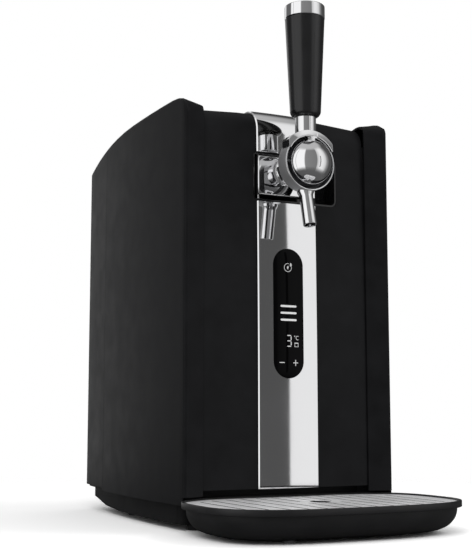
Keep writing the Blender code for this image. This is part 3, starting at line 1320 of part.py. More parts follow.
def fan(root, spin):
    """Square frame with its duct and struts, and the bladed rotor on its axle."""
    front = MODULE_Y + MODULE_THICKNESS + GAP + SINK_DEPTH + GAP
    back = front + FAN_DEPTH
    corner = EDGE_RADIUS
    low = (-FAN_HALF_SIZE, SINK_Z - FAN_HALF_SIZE)
    high = (FAN_HALF_SIZE, SINK_Z + FAN_HALF_SIZE)
    outline = rounded_rectangle(low, high, corner, corner)
    frame = add_object("fan_frame", prism(outline, "Y", front, back), "grey_plastic", root)
    centre = (0, front, SINK_Z)
    duct = cylinder(FAN_DUCT_RADIUS, -OVERRUN, FAN_DEPTH + OVERRUN, FAN_STEPS, centre, "Y")
    boolean(frame, cutter(duct, root))
    strut_front = back - FAN_STRUT_DEPTH
    for angle in FAN_STRUT_TURNS_DEG:
        reach = FAN_DUCT_RADIUS + OVERRUN
        strut = box((-reach, strut_front, -FAN_STRUT_HALF_WIDTH), (reach, back - GAP, FAN_STRUT_HALF_WIDTH))
        turn = Matrix.Translation((0, 0, SINK_Z)) @ Matrix.Rotation(math.radians(angle), 4, "Y")
        bmesh.ops.transform(strut, matrix=turn, verts=strut.verts)
        boolean(frame, cutter(strut, root), "UNION")
    axle = cylinder(FAN_AXLE_RADIUS, 3 * OVERRUN, FAN_DEPTH - FAN_STRUT_DEPTH / 2, PIN_STEPS, centre, "Y")
    boolean(frame, cutter(axle, root), "UNION")

    bore = FAN_AXLE_RADIUS + RUNNING_CLEARANCE
    hub_front = OVERRUN
    hub_back = FAN_DEPTH - FAN_STRUT_DEPTH - OVERRUN
    profile = [
        (0, hub_front),
        (FAN_HUB_RADIUS - CAP_EDGE, hub_front),
        (FAN_HUB_RADIUS, hub_front + CAP_EDGE),
        (FAN_HUB_RADIUS, hub_back),
        (bore, hub_back),
        (bore, 2 * OVERRUN),
        (0, 2 * OVERRUN),
    ]
    rotor = add_object("fan_rotor", turned(profile, FAN_STEPS, centre, "Y"), "grey_plastic", spin)
    tip = FAN_DUCT_RADIUS - FAN_BLADE_TIP_CLEARANCE
    middle = front + (hub_front + hub_back) / 2
    half_chord = FAN_BLADE_CHORD / 2
    half_thick = FAN_BLADE_THICKNESS / 2
    root_radius = FAN_HUB_RADIUS - OVERRUN
    for blade in range(FAN_BLADES):
        vane = box((root_radius, -half_chord, -half_thick), (tip, half_chord, half_thick))
        pitch = Matrix.Rotation(math.radians(FAN_BLADE_PITCH_DEG), 4, "X")
        turn = Matrix.Rotation(2 * math.pi * blade / FAN_BLADES, 4, "Y")
        place = Matrix.Translation((0, middle, SINK_Z)) @ turn @ pitch
        bmesh.ops.transform(vane, matrix=place, verts=vane.verts)
        boolean(rotor, cutter(vane, spin), "UNION")


def pump_top():
    """Height of the pump's barb."""
    return base_bottom(PUMP_Y) + BASE_WALL + GAP + PUMP_BODY_HEIGHT + PUMP_HEAD_HEIGHT + PUMP_BARB_HEIGHT


def air_system(root):
    """Air pump, and the short hose from its barb to the coupler under the tub."""
    low = base_bottom(PUMP_Y) + BASE_WALL + GAP
    neck = low + PUMP_BODY_HEIGHT
    head = neck + PUMP_HEAD_HEIGHT
    profile = [
        (0, low),
        (PUMP_RADIUS, low),
        (PUMP_RADIUS, neck),
        (PUMP_HEAD_RADIUS, neck),
        (PUMP_HEAD_RADIUS, head),
        (PUMP_BARB_RADIUS, head),
        (PUMP_BARB_RADIUS, head + PUMP_BARB_HEIGHT),
        (0, head + PUMP_BARB_HEIGHT),
    ]
    pump = turned(profile, 2 * SCREW_STEPS, (PUMP_X, PUMP_Y, 0))
    add_object("air_pump", pump, "grey_plastic", root)

    start = Vector((PUMP_X, PUMP_Y, pump_top() + GAP))
    barb_low = TUB_BOTTOM - GAP - COUPLER_FLANGE_THICKNESS - COUPLER_BARB_LENGTH
    end = Vector((0, CHAMBER_Y, barb_low - GAP))
    rise = Vector((0, 0, 2 * HOSE_RADIUS))
    controls = (start + rise, start + 3 * rise, end - 4 * rise, end - rise)
    places = [start]
    for index in range(HOSE_POINTS):
        t = index / (HOSE_POINTS - 1)
        weights = ((1 - t) ** 3, 3 * t * (1 - t) ** 2, 3 * t * t * (1 - t), t**3)
        places.append(sum((control * weight for control, weight in zip(controls, weights)), Vector()))
    places.append(end)
    hose = bpy.data.curves.new("air_hose", "CURVE")
    hose.dimensions = "3D"
    hose.bevel_depth = HOSE_RADIUS
    hose.bevel_resolution = 2
    hose.use_fill_caps = True
    line = hose.splines.new("POLY")
    line.points.add(len(places[1:]))
    for point, place in zip(line.points, places):
        point.co = (*place, 1.0)
    made = bpy.data.objects.new("air_hose", hose)
    bpy.context.scene.collection.objects.link(made)
    hose.materials.append(material("grey_plastic"))
    made.parent = root
    made.matrix_parent_inverse = PARENT_INVERSES[root.name]


def block_on_floor(name, place, size, finish, root):
    """A module that stands on the base pan's floor."""
    x, y = place
    low = base_bottom(y) + BASE_WALL + GAP
    half_x = size[0] / 2
    half_y = size[1] / 2
    body = box((x - half_x, y - half_y, low), (x + half_x, y + half_y, low + size[2]))
    return add_object(name, body, finish, root)


def inlet_opening():
    """The rear cover's hole for the mains inlet."""
    half_x = INLET_WIDTH / 2 + GAP
    half_z = INLET_HEIGHT / 2 + GAP
    front = BODY_DEPTH - INLET_LENGTH
    low = (INLET_X - half_x, front, INLET_Z - half_z)
    return box(low, (INLET_X + half_x, BODY_DEPTH + OVERRUN, INLET_Z + half_z))


def electrics(root):
    """Power supply and control board on the base, and the mains inlet in the rear wall."""
    radius = CHAMBER_RADIUS
    supply = (radius * SUPPLY_WIDTH_SHARE, radius * SUPPLY_DEPTH_SHARE, SUPPLY_HEIGHT)
    place = (radius * SUPPLY_ACROSS_SHARE, CHAMBER_Y)
    block_on_floor("power_supply", place, supply, "grey_plastic", root)
    control = (radius * CONTROL_WIDTH_SHARE, radius * CONTROL_DEPTH_SHARE, CONTROL_HEIGHT)
    place = (radius * CONTROL_ACROSS_SHARE, CHAMBER_Y + radius * CONTROL_ALONG_SHARE)
    block_on_floor("control_board", place, control, "circuit_board", root)
    half_x = INLET_WIDTH / 2
    half_z = INLET_HEIGHT / 2
    back = BODY_DEPTH - GAP
    low = (INLET_X - half_x, back - INLET_LENGTH, INLET_Z - half_z)
    body = box(low, (INLET_X + half_x, back, INLET_Z + half_z))
    body = add_object("mains_inlet", body, "gloss_black", root)
    edge = INLET_FLANGE
    flange_back = BODY_DEPTH - WALL - GAP
    flange_low = (INLET_X - half_x - edge, flange_back - INLET_FLANGE_THICKNESS, INLET_Z - half_z - edge)
    flange_high = (INLET_X + half_x + edge, flange_back, INLET_Z + half_z + edge)
    boolean(body, cutter(box(flange_low, flange_high), root), "UNION")
    wall = BAY_WALL
    hollow_low = (low[0] + wall, back - INLET_PIN_HOLLOW, low[2] + wall)
    hollow_high = (INLET_X + half_x - wall, back + OVERRUN, INLET_Z + half_z - wall)
    boolean(body, cutter(box(hollow_low, hollow_high), root))


def screw_places():
    """Places of the rear cover's screws."""
    return [(sign * MULLION_X, z) for z in SCREW_ROWS for sign in (-1, 1)]


def screw_body(x, z, clearance):
    """A pan-head screw sunk into the rear wall, or the hole for it when there is a clearance."""
    head = BODY_DEPTH + (OVERRUN if clearance else -GAP)
    seat = BODY_DEPTH - GAP - SCREW_HEAD_HEIGHT - clearance
    tip = BODY_DEPTH - SCREW_LENGTH - clearance
    shank = SCREW_SHANK_RADIUS + clearance
    rim = SCREW_HEAD_RADIUS + clearance
    profile = [(0, tip), (shank, tip), (shank, seat), (rim, seat), (rim, head), (0, head)]
    return turned(profile, SCREW_STEPS, (x, 0, z), "Y")


def screw_hole(x, z):
    """The hole that one screw passes through."""
    return screw_body(x, z, GAP)


def screws(root):
    """Four screws that hold the rear cover."""
    for index, (x, z) in enumerate(screw_places()):
        add_object(f"rear_screw_{index + 1}", screw_body(x, z, 0), "chrome", root)


def build():
    """Clear the scene and make every piece."""
    for old in list(bpy.data.objects):
        bpy.data.objects.remove(old, do_unlink=True)
    root = add_empty("dispenser", (0, 0, 0))
    lid_empty = add_empty("lid_axis", (0, LID_HINGE_Y, LID_HINGE_Z), root)
    door = add_empty("door_axis", (DOOR_PIN_X, DOOR_PIN_Y, DOOR_MID_Z), root)
    lever = add_empty("lever_axis", (0, TAP_PIVOT_Y, TAP_Z), door)
    slide = add_empty("pincher_axis", (0, TAP_PIVOT_Y + BALL_RADIUS, TAP_Z), door)
    tray = add_empty("tray_axis", (0, -TRAY_FRONT, 0), root)
    grille = add_empty("grille_axis", (0, GRILLE_BAR_Y, TRAY_TOP), tray)
    spin = add_empty("fan_axis", (0, MODULE_Y, SINK_Z), root)
    base_pan(root)
    feet(root)
    side_panel("side_panel_left", -1, root)
    side_panel("side_panel_right", 1, root)
    rear_cover(root)
    front_panel(root)
    trim_strips(root)
    display(root)
    bay_liner(root)
    top_deck(root)
    chamber(root)
    cooling_engine(root)
    fan(root, spin)
    air_system(root)
    electrics(root)
    screws(root)
    lid(lid_empty, root)
    tap_door(door)
    tap_body(door)
    spout(door)
    pincher(slide)
    tap_ball(lever)
    tap_yoke(lever)
    tap_handle(lever)
    drip_tray(tray)
    drip_grille(grille)
    root.location = (0, DATUM_Y, 0)


build()
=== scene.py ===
"""Looks of a mini keg beer dispenser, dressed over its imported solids.

Metres, +Z up, front towards -Y. Places along Y are written from the front panel's face, as the part's own
sizes are, and PLANE_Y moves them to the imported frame.
"""

import math

import bmesh
import bpy
from mathutils import Matrix, Vector


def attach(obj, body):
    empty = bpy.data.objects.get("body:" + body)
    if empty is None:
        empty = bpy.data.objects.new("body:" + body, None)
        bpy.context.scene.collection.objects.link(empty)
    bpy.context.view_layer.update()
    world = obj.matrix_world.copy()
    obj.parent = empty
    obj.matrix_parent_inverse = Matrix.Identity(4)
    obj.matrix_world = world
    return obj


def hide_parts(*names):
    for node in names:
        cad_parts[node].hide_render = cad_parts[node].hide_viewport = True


# Frame and camera
PLANE_Y = -0.0935
CAMERA_PLACE = (-0.6228, -1.0918, 0.1246)
CAMERA_YAW_DEG = 27.04
CAMERA_PITCH_DEG = 7.186
CAMERA_LENS_MM = 72.5
SENSOR_MM = 36.0

# Clearance, smoothing and rounded edges
GAP = 0.0003
SMOOTH_DEG = 38.0
CRISP_DEG = 30.0
WELD = 0.000004
EDGE_STEPS = 5
NODE_EDGE_STEPS = 2

# Noise of the materials: its useful range, its detail, and the grains that one cloud of tone spans
NOISE_LOW = 0.3
NOISE_HIGH = 0.7
CLOUD_DETAIL = 4.0
GRAIN_DETAIL = 2.0
GRAINS_PER_CLOUD = 60

# Body outline
BODY_TOP = 0.4777
SHOULDER_FALL = 0.0080
SHOULDER_HALF_WIDTH = 0.1063
LID_CROWN = 0.0045
TOP_FALL_START_Y = 0.150
REAR_TOP_FALL = 0.0240
BODY_DEPTH = 0.356

# Front panel and strip
PANEL_TOP_RADIUS = 0.0250
PANEL_TOP_END_Y = 0.0330
PANEL_BOTTOM = 0.0435
PANEL_LEAN = 0.0030
LEAN_START_Z = 0.1500
PANEL_ARC_START_Z = BODY_TOP - SHOULDER_FALL - PANEL_TOP_RADIUS
PANEL_ARC_STEPS = 18
STRIP_HALF_WIDTH = 0.0386
STRIP_THICKNESS = 0.0025
STRIP_LOWER_TOP = 0.3658
STRIP_UPPER_BOTTOM = 0.4236
STRIP_CHAMFER = 0.0012
STRIP_ROWS = 40
STRIP_UPPER_ROWS = 10
STRIP_STATIONS = 8

# Display
PILL_HALF_WIDTH = 0.0196
PILL_BOTTOM = 0.1651
PILL_TOP = 0.3130
PILL_STEPS = 40
WINDOW_CUT = 0.02
GLASS_SINK = 0.0002
GLASS_FACE = GAP + STRIP_THICKNESS - GLASS_SINK
GLASS_RIM = 0.0005
GLASS_RIM_SHARE = 0.3  # how far the rim's middle point lies from its corner, both ways
GLASS_SMOOTH_DEG = 60.0

# Signs on the display, as places in X and Z
SIGN_LIFT = 0.00006
SIGN_THICKNESS = 0.00005
SIGN_ARCS = (  # centre, radius, stroke, start and end in degrees, steps
    ((-0.0001, 0.2912), 0.0050, 0.0006, 75, 390, 36),  # power ring
    ((0.0080, 0.2128), 0.0008, 0.0004, 0, 350, 16),  # degree sign
    ((0.0118, 0.2110), 0.0024, 0.0006, 60, 300, 16),  # its C shape
)
SIGN_OUTLINES = (  # marks at the power ring's gap and in its middle
    ((0.0026, 0.2924), (0.0050, 0.2936), (0.0047, 0.2958), (0.0033, 0.2968), (0.0025, 0.2948)),
    ((-0.0001, 0.2890), (0.0010, 0.2914), (0.0004, 0.2936), (-0.0013, 0.2918), (-0.0010, 0.2899)),
)
SIGN_BARS = (  # centre, half length, half height, steps of a round end
    ((0.0003, 0.2469), 0.0104, 0.00115, 8),  # three level bars
    ((0.0003, 0.2392), 0.0104, 0.00115, 8),
    ((0.0003, 0.2313), 0.0104, 0.00115, 8),
    ((0.0008, 0.2136), 0.0024, 0.00055, 8),  # the digit's level strokes
    ((0.0008, 0.2075), 0.0024, 0.00055, 8),
    ((0.0008, 0.2014), 0.0024, 0.00055, 8),
    ((-0.0086, 0.1829), 0.0034, 0.00045, 4),  # minus
    ((0.0090, 0.1828), 0.0033, 0.00045, 4),  # plus
)
SIGN_BLOCKS = (  # low and high corner
    ((0.0028, 0.2024), (0.0039, 0.2066)),  # the digit's upright strokes
    ((0.0028, 0.2085), (0.0039, 0.2127)),
    ((0.0078, 0.2008), (0.0128, 0.2013)),  # four sides of the square
    ((0.0078, 0.2046), (0.0128, 0.2056)),
    ((0.0078, 0.2013), (0.0083, 0.2046)),
    ((0.0123, 0.2013), (0.0128, 0.2046)),
    ((0.00855, 0.1795), (0.00945, 0.18235)),  # plus, under and over its bar
    ((0.00855, 0.18325), (0.00945, 0.1861)),
)

# Tap door
DOOR_BOTTOM = 0.3741
DOOR_TOP = 0.4192
DOOR_LEFT = 0.0372
DOOR_RIGHT = 0.0383
DOOR_CUT = 0.01
TUBE_HOLE_RADIUS = 0.0070

# Tap
TAP_Z = 0.4030
TAP_PIVOT_Y = -0.0505
TAP_CENTRE = (0, TAP_PIVOT_Y, TAP_Z)
TAP_EDGE = 0.0007
BALL_RADIUS = 0.0262
BALL_SMOOTH_DEG = 25.0
SOCKET_CLEARANCE = 0.0006
SOCKET_WALL = 0.0022
SOCKET_END_DEG = 82.0
SOCKET_STEPS = 20
SHELL_STEPS = 14
RING_RADIUS = 0.0314
RING_MOUTH_RADIUS = 0.0279
RING_MOUTH_DEPTH = 0.0036
RING_ROLL = 0.0009
RING_ROLL_START_DEG = -200
RING_ROLL_STEPS = 10
RING_FRONT = 0.0035
RING_BACK = 0.0145
RING_SKIN = 0.0004
SIDE_NORMAL = 0.5  # a face with less of its normal along the tap's axis belongs to the side
SHANK_RADIUS = 0.0125
COLLAR_START = 2.6  # in thicknesses of the rosette, before the door's face
COLLAR_END = 2
COLLAR_STEP = 0.0008
ROSETTE_RADIUS = 0.0165
ROSETTE_THICKNESS = 0.0035
ROSETTE_STEP = 0.0010
PIN_BORE_RADIUS = 0.0021
PIN_BORE_REACH = 0.0295
PIN_BORE_EXCESS = 0.005
PIN_BORE_STEPS = 24
TURNED_STEPS = 96
SPOUT_RADIUS = 0.0077
SPOUT_BORE_RADIUS = 0.0062
SPOUT_ROOT_RADIUS = 0.0095
SPOUT_ROOT_LENGTH = 0.0060
SPOUT_ROOT_SINK = 0.0045
SPOUT_COLLAR = 0.0006
SPOUT_FLARE_STEPS = 8
SPOUT_LENGTH = 0.0400
SPOUT_ROOT_Y = -0.0428
SPOUT_LEAN_DEG = 13.5
SPOUT_CUT = 0.03
SPOUT_CUT_STEPS = 144

# Lever
LEVER_Y = -0.0438
YOKE_INNER_RADIUS = 0.0321
YOKE_OUTER_RADIUS = 0.0367
YOKE_FLANGE_RADIUS = 0.0300
YOKE_RIM_RADIUS = 0.0309
YOKE_RIM_STEP = 0.0004
YOKE_RIM_STEP_BACK = 0.0003
YOKE_FRONT_Y = -0.0572
YOKE_SHOULDER_Y = -0.0557
YOKE_FLANGE_BACK_Y = -0.0543
YOKE_BACK_Y = -0.0400
YOKE_HALF_ANGLE_DEG = 62.0
YOKE_HALF_WIDTH = 0.0281
YOKE_STEPS = 64
YOKE_EDGE = 0.0005
YOKE_CRISP_DEG = 25.0
TONGUE_HALF_WIDTH = 0.0045
TONGUE_SETBACK = 0.0008
LENS_HALF_WIDTH = 0.0078
LENS_DEPTH = 0.0030
LENS_SETBACK = 0.0004
LENS_STEPS = 20
NECK_RADIUS = 0.0118
HANDLE_BOTTOM = 0.4562
HANDLE_TOP = 0.5708
HANDLE_BOTTOM_RADIUS = 0.0175
HANDLE_TOP_RADIUS = 0.0225
HANDLE_END_RADIUS = 0.0075
HANDLE_END_STEPS = 12
HANDLE_EDGE = 0.0008
HANDLE_EDGE_STEPS = 3
CAP_TOP = 0.5860
CAP_RADIUS = 0.0229
CAP_DOME = 0.0012
CAP_EDGE = 0.0012
CAP_CHAMFER = 0.0006
CAP_STEPS = 8

# Drip tray
TRAY_HALF_WIDTH = 0.1490
TRAY_FRONT = 0.1690
TRAY_BACK = 0.0211
TRAY_ROUNDNESS = 3.05
TRAY_TOP = 0.0350
TRAY_RIM_HEIGHT = 0.0068
TRAY_RIM_OVERHANG = 0.0045
TRAY_RIM_WIDTH = 0.0032
TRAY_RIM_EDGE = 0.0008
TRAY_RIM_EDGE_STEPS = 3
TRAY_RIM_CHAMFER = 0.0004
TRAY_BOTTOM = 0.0026
TRAY_FLOOR_INSET = 0.0340
TRAY_WALL = 0.0022
TRAY_STEPS = 176
TRAY_TONGUE_X = 0.0400
TRAY_TONGUE_HALF_WIDTH = 0.0100
TRAY_TONGUE_HEIGHT = 0.0050
TRAY_TONGUE_BOTTOM = 0.0150
TRAY_TONGUE_REACH = 0.0160
BULGE_POWER = 2.25
BULGE_STEPS = 14
GRILLE_THICKNESS = 0.0020
GRILLE_SINK = 0.0018
GRILLE_LEDGE = 0.0045
GRILLE_EDGE = 0.0001
GRILLE_EDGE_STEPS = 2
GRILLE_SLOT_WIDTH = 0.0030
GRILLE_SLOT_PITCH = 0.0195
GRILLE_SLOT_END_STEPS = 8
GRILLE_MARGIN = 0.0130
GRILLE_GUIDE_STEPS = 40
GRILLE_GUIDE_NEAREST = 4
GRILLE_BAR = 0.0170
GRILLE_BAR_Y = -0.0680
GRILLE_SPLIT_COLUMNS = 1
GRILLE_HOLE_RADIUS = 0.0110
GRILLE_HOLE_STEPS = 48
# Slot and edge faces under this threshold take the dark tray plastic as painted shade.
SLOT_SHADE_NORMAL = 0.3  # a face with less of its normal upright belongs to a slot or to the plate's edge

# Sealing strips: behind the wings, beside the front panel, and along the rear cover's sides
WING_SEAL_NEAR = 0.1050
WING_SEAL_FAR = 0.1309
WING_SEAL_Y = 0.0227
WING_SEAL_THICKNESS = 0.0026
WING_SEAL_BOTTOM = 0.0319
WING_SEAL_TOP = 0.0900
TAPE_NEAR = 0.1035
TAPE_FAR = 0.1095
TAPE_SETBACK = 0.0030
TAPE_THICKNESS = 0.0015
TAPE_BOTTOM = 0.0460
TAPE_TOP = 0.4440
TAPE_ROWS = 12
SEAL_BOTTOM = 0.0306
SEAL_TOP = 0.0345
SEAL_OUTLINE = (
    (0.1115, 0.2595),
    (0.1217, 0.2595),
    (0.1205, 0.2735),
    (0.1185, 0.2935),
    (0.1160, 0.3135),
    (0.1135, 0.3335),
    (0.1128, 0.3385),
    (0.1050, 0.3385),
    (0.1057, 0.3135),
    (0.1081, 0.2935),
)

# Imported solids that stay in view: their looks, and the width of their rounded edges
NODE_LOOKS = {
    "body": (
        "side_panel_left",
        "side_panel_right",
        "rear_cover",
        "front_panel",
        "lid_cover",
        "fan_frame",
        "fan_rotor",
    ),
    "base": ("base_pan", "door_carrier", "mains_inlet", "power_supply"),
    "grey": (
        "top_deck",
        "lid_liner",
        "lid_catch",
        "keg_seat",
        "air_coupler",
        "tube_pincher",
        "tap_pivot_pin",
    ),
    "gloss": ("bay_liner",),
    "chrome": (
        "door_pin",
        "lid_pin_left",
        "lid_pin_right",
        "rear_screw_1",
        "rear_screw_2",
        "rear_screw_3",
        "rear_screw_4",
    ),
    "aluminium": ("cooling_tub", "cold_block", "heat_sink", "thermoelectric_module", "air_pump"),
    "rubber": (
        "lid_gasket",
        "air_hose",
        "foot_front_left",
        "foot_front_right",
        "foot_rear_left",
        "foot_rear_right",
    ),
    "pad": ("tray_pad_left", "tray_pad_right"),
    "foam": ("tub_insulation",),
    "board": ("display_board", "control_board"),
}
NODE_EDGES = {
    "body": 0.0006,
    "base": 0.0005,
    "grey": 0.0005,
    "gloss": 0.0006,
    "aluminium": 0.0003,
    "foam": 0.0010,
}

# Studio
FLOOR_REACH = 0.95
FLOOR_FADE_START = 0.45
FLOOR_TONE = 0.78
FLOOR_GLOSSY_TONE = 0.12
FLOOR_CAMERA_TONE = 1.45
AMBIENT = 0.55
SKY_START = 0.78  # as the upward part of a ray's direction
SKY_FULL = 0.90
SKY_TONE = 0.50
BAND_STOPS = (  # degrees round the object and how bright the studio is there, for polished metal
    (-180, 0.90),
    (-166, 0.80),
    (-158, 0.14),
    (-118, 0.13),
    (-112, 1.00),
    (-100, 1.00),
    (-98.8, 0.45),
    (-97.4, 0.45),
    (-96.2, 1.00),
    (-54, 1.00),
    (-49, 0.24),
    (10, 0.20),
    (13, 0.58),
    (30, 0.88),
    (44, 0.85),
    (58, 0.66),
    (68, 0.30),
    (86, 0.08),
    (150, 0.06),
    (172, 0.50),
    (180, 0.90),
)
DARK_CARD_LOW = (0.560, -1.155, -0.15)
DARK_CARD_HIGH = (0.661, -1.155, 0.95)
DARK_CARD_TONE = 0.085
LAMP_SIZE = 1.6
LAMP_TARGET = (0, 0, 0.25)
LAMPS = (  # name, place, power
    ("key", (-1.3, -1.6, 1.9), 26.0),
    ("fill", (1.8, -0.9, 1.5), 14.0),
)

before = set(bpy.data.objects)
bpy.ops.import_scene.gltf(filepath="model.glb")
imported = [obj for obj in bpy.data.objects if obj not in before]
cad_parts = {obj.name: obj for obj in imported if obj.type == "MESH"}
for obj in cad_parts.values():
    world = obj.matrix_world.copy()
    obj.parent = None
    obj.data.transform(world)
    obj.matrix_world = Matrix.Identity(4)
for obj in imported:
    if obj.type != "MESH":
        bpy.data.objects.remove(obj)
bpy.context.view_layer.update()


def added(nodes, kind, **settings):
    """A new node with some of its settings."""
    node = nodes.new(kind)
    for name, value in settings.items():
        setattr(node, name, value)
    return node


def grey(level):
    """An opaque grey."""
    return (level, level, level, 1)


def material(
    name,
    colour,
    roughness,
    metallic=0.0,
    tint=1.25,
    rough_span=0.08,
    grain=2200.0,
    bump=0.10,
    depth=0.00005,
    **shader,
):
    """A Principled material with a fine grain, a slow change of roughness and a slight change of tone."""
    made = bpy.data.materials.new("look_" + name)
    made.use_nodes = True
    nodes, links = made.node_tree.nodes, made.node_tree.links
    principled = nodes["Principled BSDF"]
    principled.inputs["Metallic"].default_value = metallic
    for socket, value in shader.items():
        principled.inputs[socket.replace("_", " ")].default_value = value
    place = added(nodes, "ShaderNodeTexCoord")
    cloud = added(nodes, "ShaderNodeTexNoise")
    cloud.inputs["Scale"].default_value = grain / GRAINS_PER_CLOUD
    cloud.inputs["Detail"].default_value = CLOUD_DETAIL
    links.new(place.outputs["Object"], cloud.inputs["Vector"])
    tone = added(nodes, "ShaderNodeValToRGB")
    dark, light = tone.color_ramp.elements
    dark.position = NOISE_LOW
    light.position = NOISE_HIGH
    dark.color = (*[c / tint for c in colour], 1)
    light.color = (*[min(1.0, c * tint) for c in colour], 1)
    links.new(cloud.outputs["Fac"], tone.inputs["Fac"])
    links.new(tone.outputs["Color"], principled.inputs["Base Color"])
    span = added(nodes, "ShaderNodeMapRange")
    span.inputs["From Min"].default_value = NOISE_LOW
    span.inputs["From Max"].default_value = NOISE_HIGH
    span.inputs["To Min"].default_value = max(0.0, roughness - rough_span / 2)
    span.inputs["To Max"].default_value = roughness + rough_span / 2
    links.new(cloud.outputs["Fac"], span.inputs["Value"])
    links.new(span.outputs["Result"], principled.inputs["Roughness"])
    if bump:
        speckle = added(nodes, "ShaderNodeTexNoise")
        speckle.inputs["Scale"].default_value = grain
        speckle.inputs["Detail"].default_value = GRAIN_DETAIL
        links.new(place.outputs["Object"], speckle.inputs["Vector"])
        relief = added(nodes, "ShaderNodeBump")
        relief.inputs["Strength"].default_value = bump
        relief.inputs["Distance"].default_value = depth
        links.new(speckle.outputs["Fac"], relief.inputs["Height"])
        links.new(relief.outputs["Normal"], principled.inputs["Normal"])
    return made


LOOKS = {
    "body": material("body", (0.0082, 0.0083, 0.0091), 0.50, Specular_IOR_Level=0.12),
    "base": material("base", (0.0085, 0.0085, 0.0092), 0.58, Specular_IOR_Level=0.15),
    "tray": material("tray", (0.0095, 0.0095, 0.0103), 0.42, Specular_IOR_Level=0.50),
    "grey": material("grey", (0.055, 0.056, 0.060), 0.50),
    "gloss": material("gloss", (0.0050, 0.0050, 0.0056), 0.12, rough_span=0.04, bump=0.0),
    "grip": material("grip", (0.0075, 0.0075, 0.0082), 0.24, rough_span=0.06, bump=0.03),
    "glass": material(
        "glass", (0.0014, 0.0014, 0.0016), 0.06, rough_span=0.02, bump=0.0, Specular_IOR_Level=0.06
    ),
    "chrome": material(
        "chrome", (0.89, 0.89, 0.90), 0.045, metallic=1.0, tint=1.02, rough_span=0.03, grain=900.0, bump=0.0
    ),
    "satin": material(
        "satin", (0.52, 0.52, 0.53), 0.42, metallic=0.70, tint=1.04, rough_span=0.06, grain=1500.0, bump=0.04
    ),
    "mirror": material(
        "mirror", (0.88, 0.88, 0.89), 0.030, metallic=1.0, tint=1.01, rough_span=0.02, grain=900.0, bump=0.0
    ),
    "steel": material(
        "steel", (0.86, 0.86, 0.87), 0.36, metallic=0.10, tint=1.04, rough_span=0.10, grain=1500.0, bump=0.03
    ),
    "pad": material("pad", (0.30, 0.30, 0.31), 0.45),
    "aluminium": material("aluminium", (0.55, 0.56, 0.58), 0.35, metallic=1.0, tint=1.10),
    "rubber": material("rubber", (0.018, 0.018, 0.019), 0.85),
    "foam": material(
        "foam", (0.66, 0.63, 0.54), 0.95, tint=1.12, rough_span=0.04, grain=700.0, bump=0.5, depth=0.0004
    ),
    "board": material("board", (0.015, 0.080, 0.035), 0.45, tint=1.40, rough_span=0.10, grain=600.0),
    "sign": material(
        "sign",
        (0.55, 0.55, 0.55),
        0.40,
        bump=0.0,
        Emission_Color=(1.0, 1.0, 1.0, 1.0),
        Emission_Strength=0.15,
    ),
}


def lid_top(x, y):
    """Height of the crowned surface between the shoulders."""
    along = max(0.0, y - TOP_FALL_START_Y) / (BODY_DEPTH - TOP_FALL_START_Y)
    crown = LID_CROWN * (1 - (x / SHOULDER_HALF_WIDTH) ** 2)
    return BODY_TOP - REAR_TOP_FALL * along**2 - SHOULDER_FALL + crown


def front_y(z):
    """The front face leans back a little towards its top."""
    along = max(0.0, z - LEAN_START_Z) / (PANEL_ARC_START_Z - LEAN_START_Z)
    return PANEL_LEAN * along**2


DOOR_FACE_Y = front_y((DOOR_BOTTOM + DOOR_TOP) / 2) - GAP - STRIP_THICKNESS


def arc(centre, radius, start_deg, end_deg, steps):
    """Points along an arc, both ends included."""
    points = []
    for step in range(steps + 1):
        angle = math.radians(start_deg + (end_deg - start_deg) * step / steps)
        points.append((centre[0] + radius * math.cos(angle), centre[1] + radius * math.sin(angle)))
    return points


def block(low, high):
    """Four corners of a rectangle."""
    return [(low[0], low[1]), (high[0], low[1]), (high[0], high[1]), (low[0], high[1])]


def sphere_profile(radius, start_deg, end_deg, steps):
    """Points (radius, distance) on a sphere, by the angle from the axis."""
    points = []
    for step in range(steps + 1):
        angle = math.radians(start_deg + (end_deg - start_deg) * step / steps)
        points.append((radius * math.sin(angle), radius * math.cos(angle)))
    return points


def ball_profile(radius):
    """A whole sphere's profile, closed at both poles."""
    profile = sphere_profile(radius, 0, 180, TURNED_STEPS // 2)
    profile[0], profile[-1] = (0, radius), (0, -radius)
    return profile


def rod_profile(radius, reach):
    """A round rod's profile, as long on both sides of its middle."""
    return [(0, -reach), (radius, -reach), (radius, reach), (0, reach)]


def loft(sections):
    """Close a body over a row of closed rings of points."""
    body = bmesh.new()
    rings = [[body.verts.new(point) for point in section] for section in sections]
    for ring, following in zip(rings, rings[1:]):
        for index, vertex in enumerate(ring):
            after = (index + 1) % len(ring)
            body.faces.new((vertex, ring[after], following[after], following[index]))
    body.faces.new(reversed(rings[0]))
    body.faces.new(rings[-1])
    return body


def prism(outline, axis, low, high):
    """Extrude a closed outline along Y or Z."""
    order = {"Y": (0, None, 1), "Z": (0, 1, None)}[axis]

    def place(point, along):
        return tuple(along if source is None else point[source] for source in order)

    return loft([[place(point, level) for point in outline] for level in (low, high)])


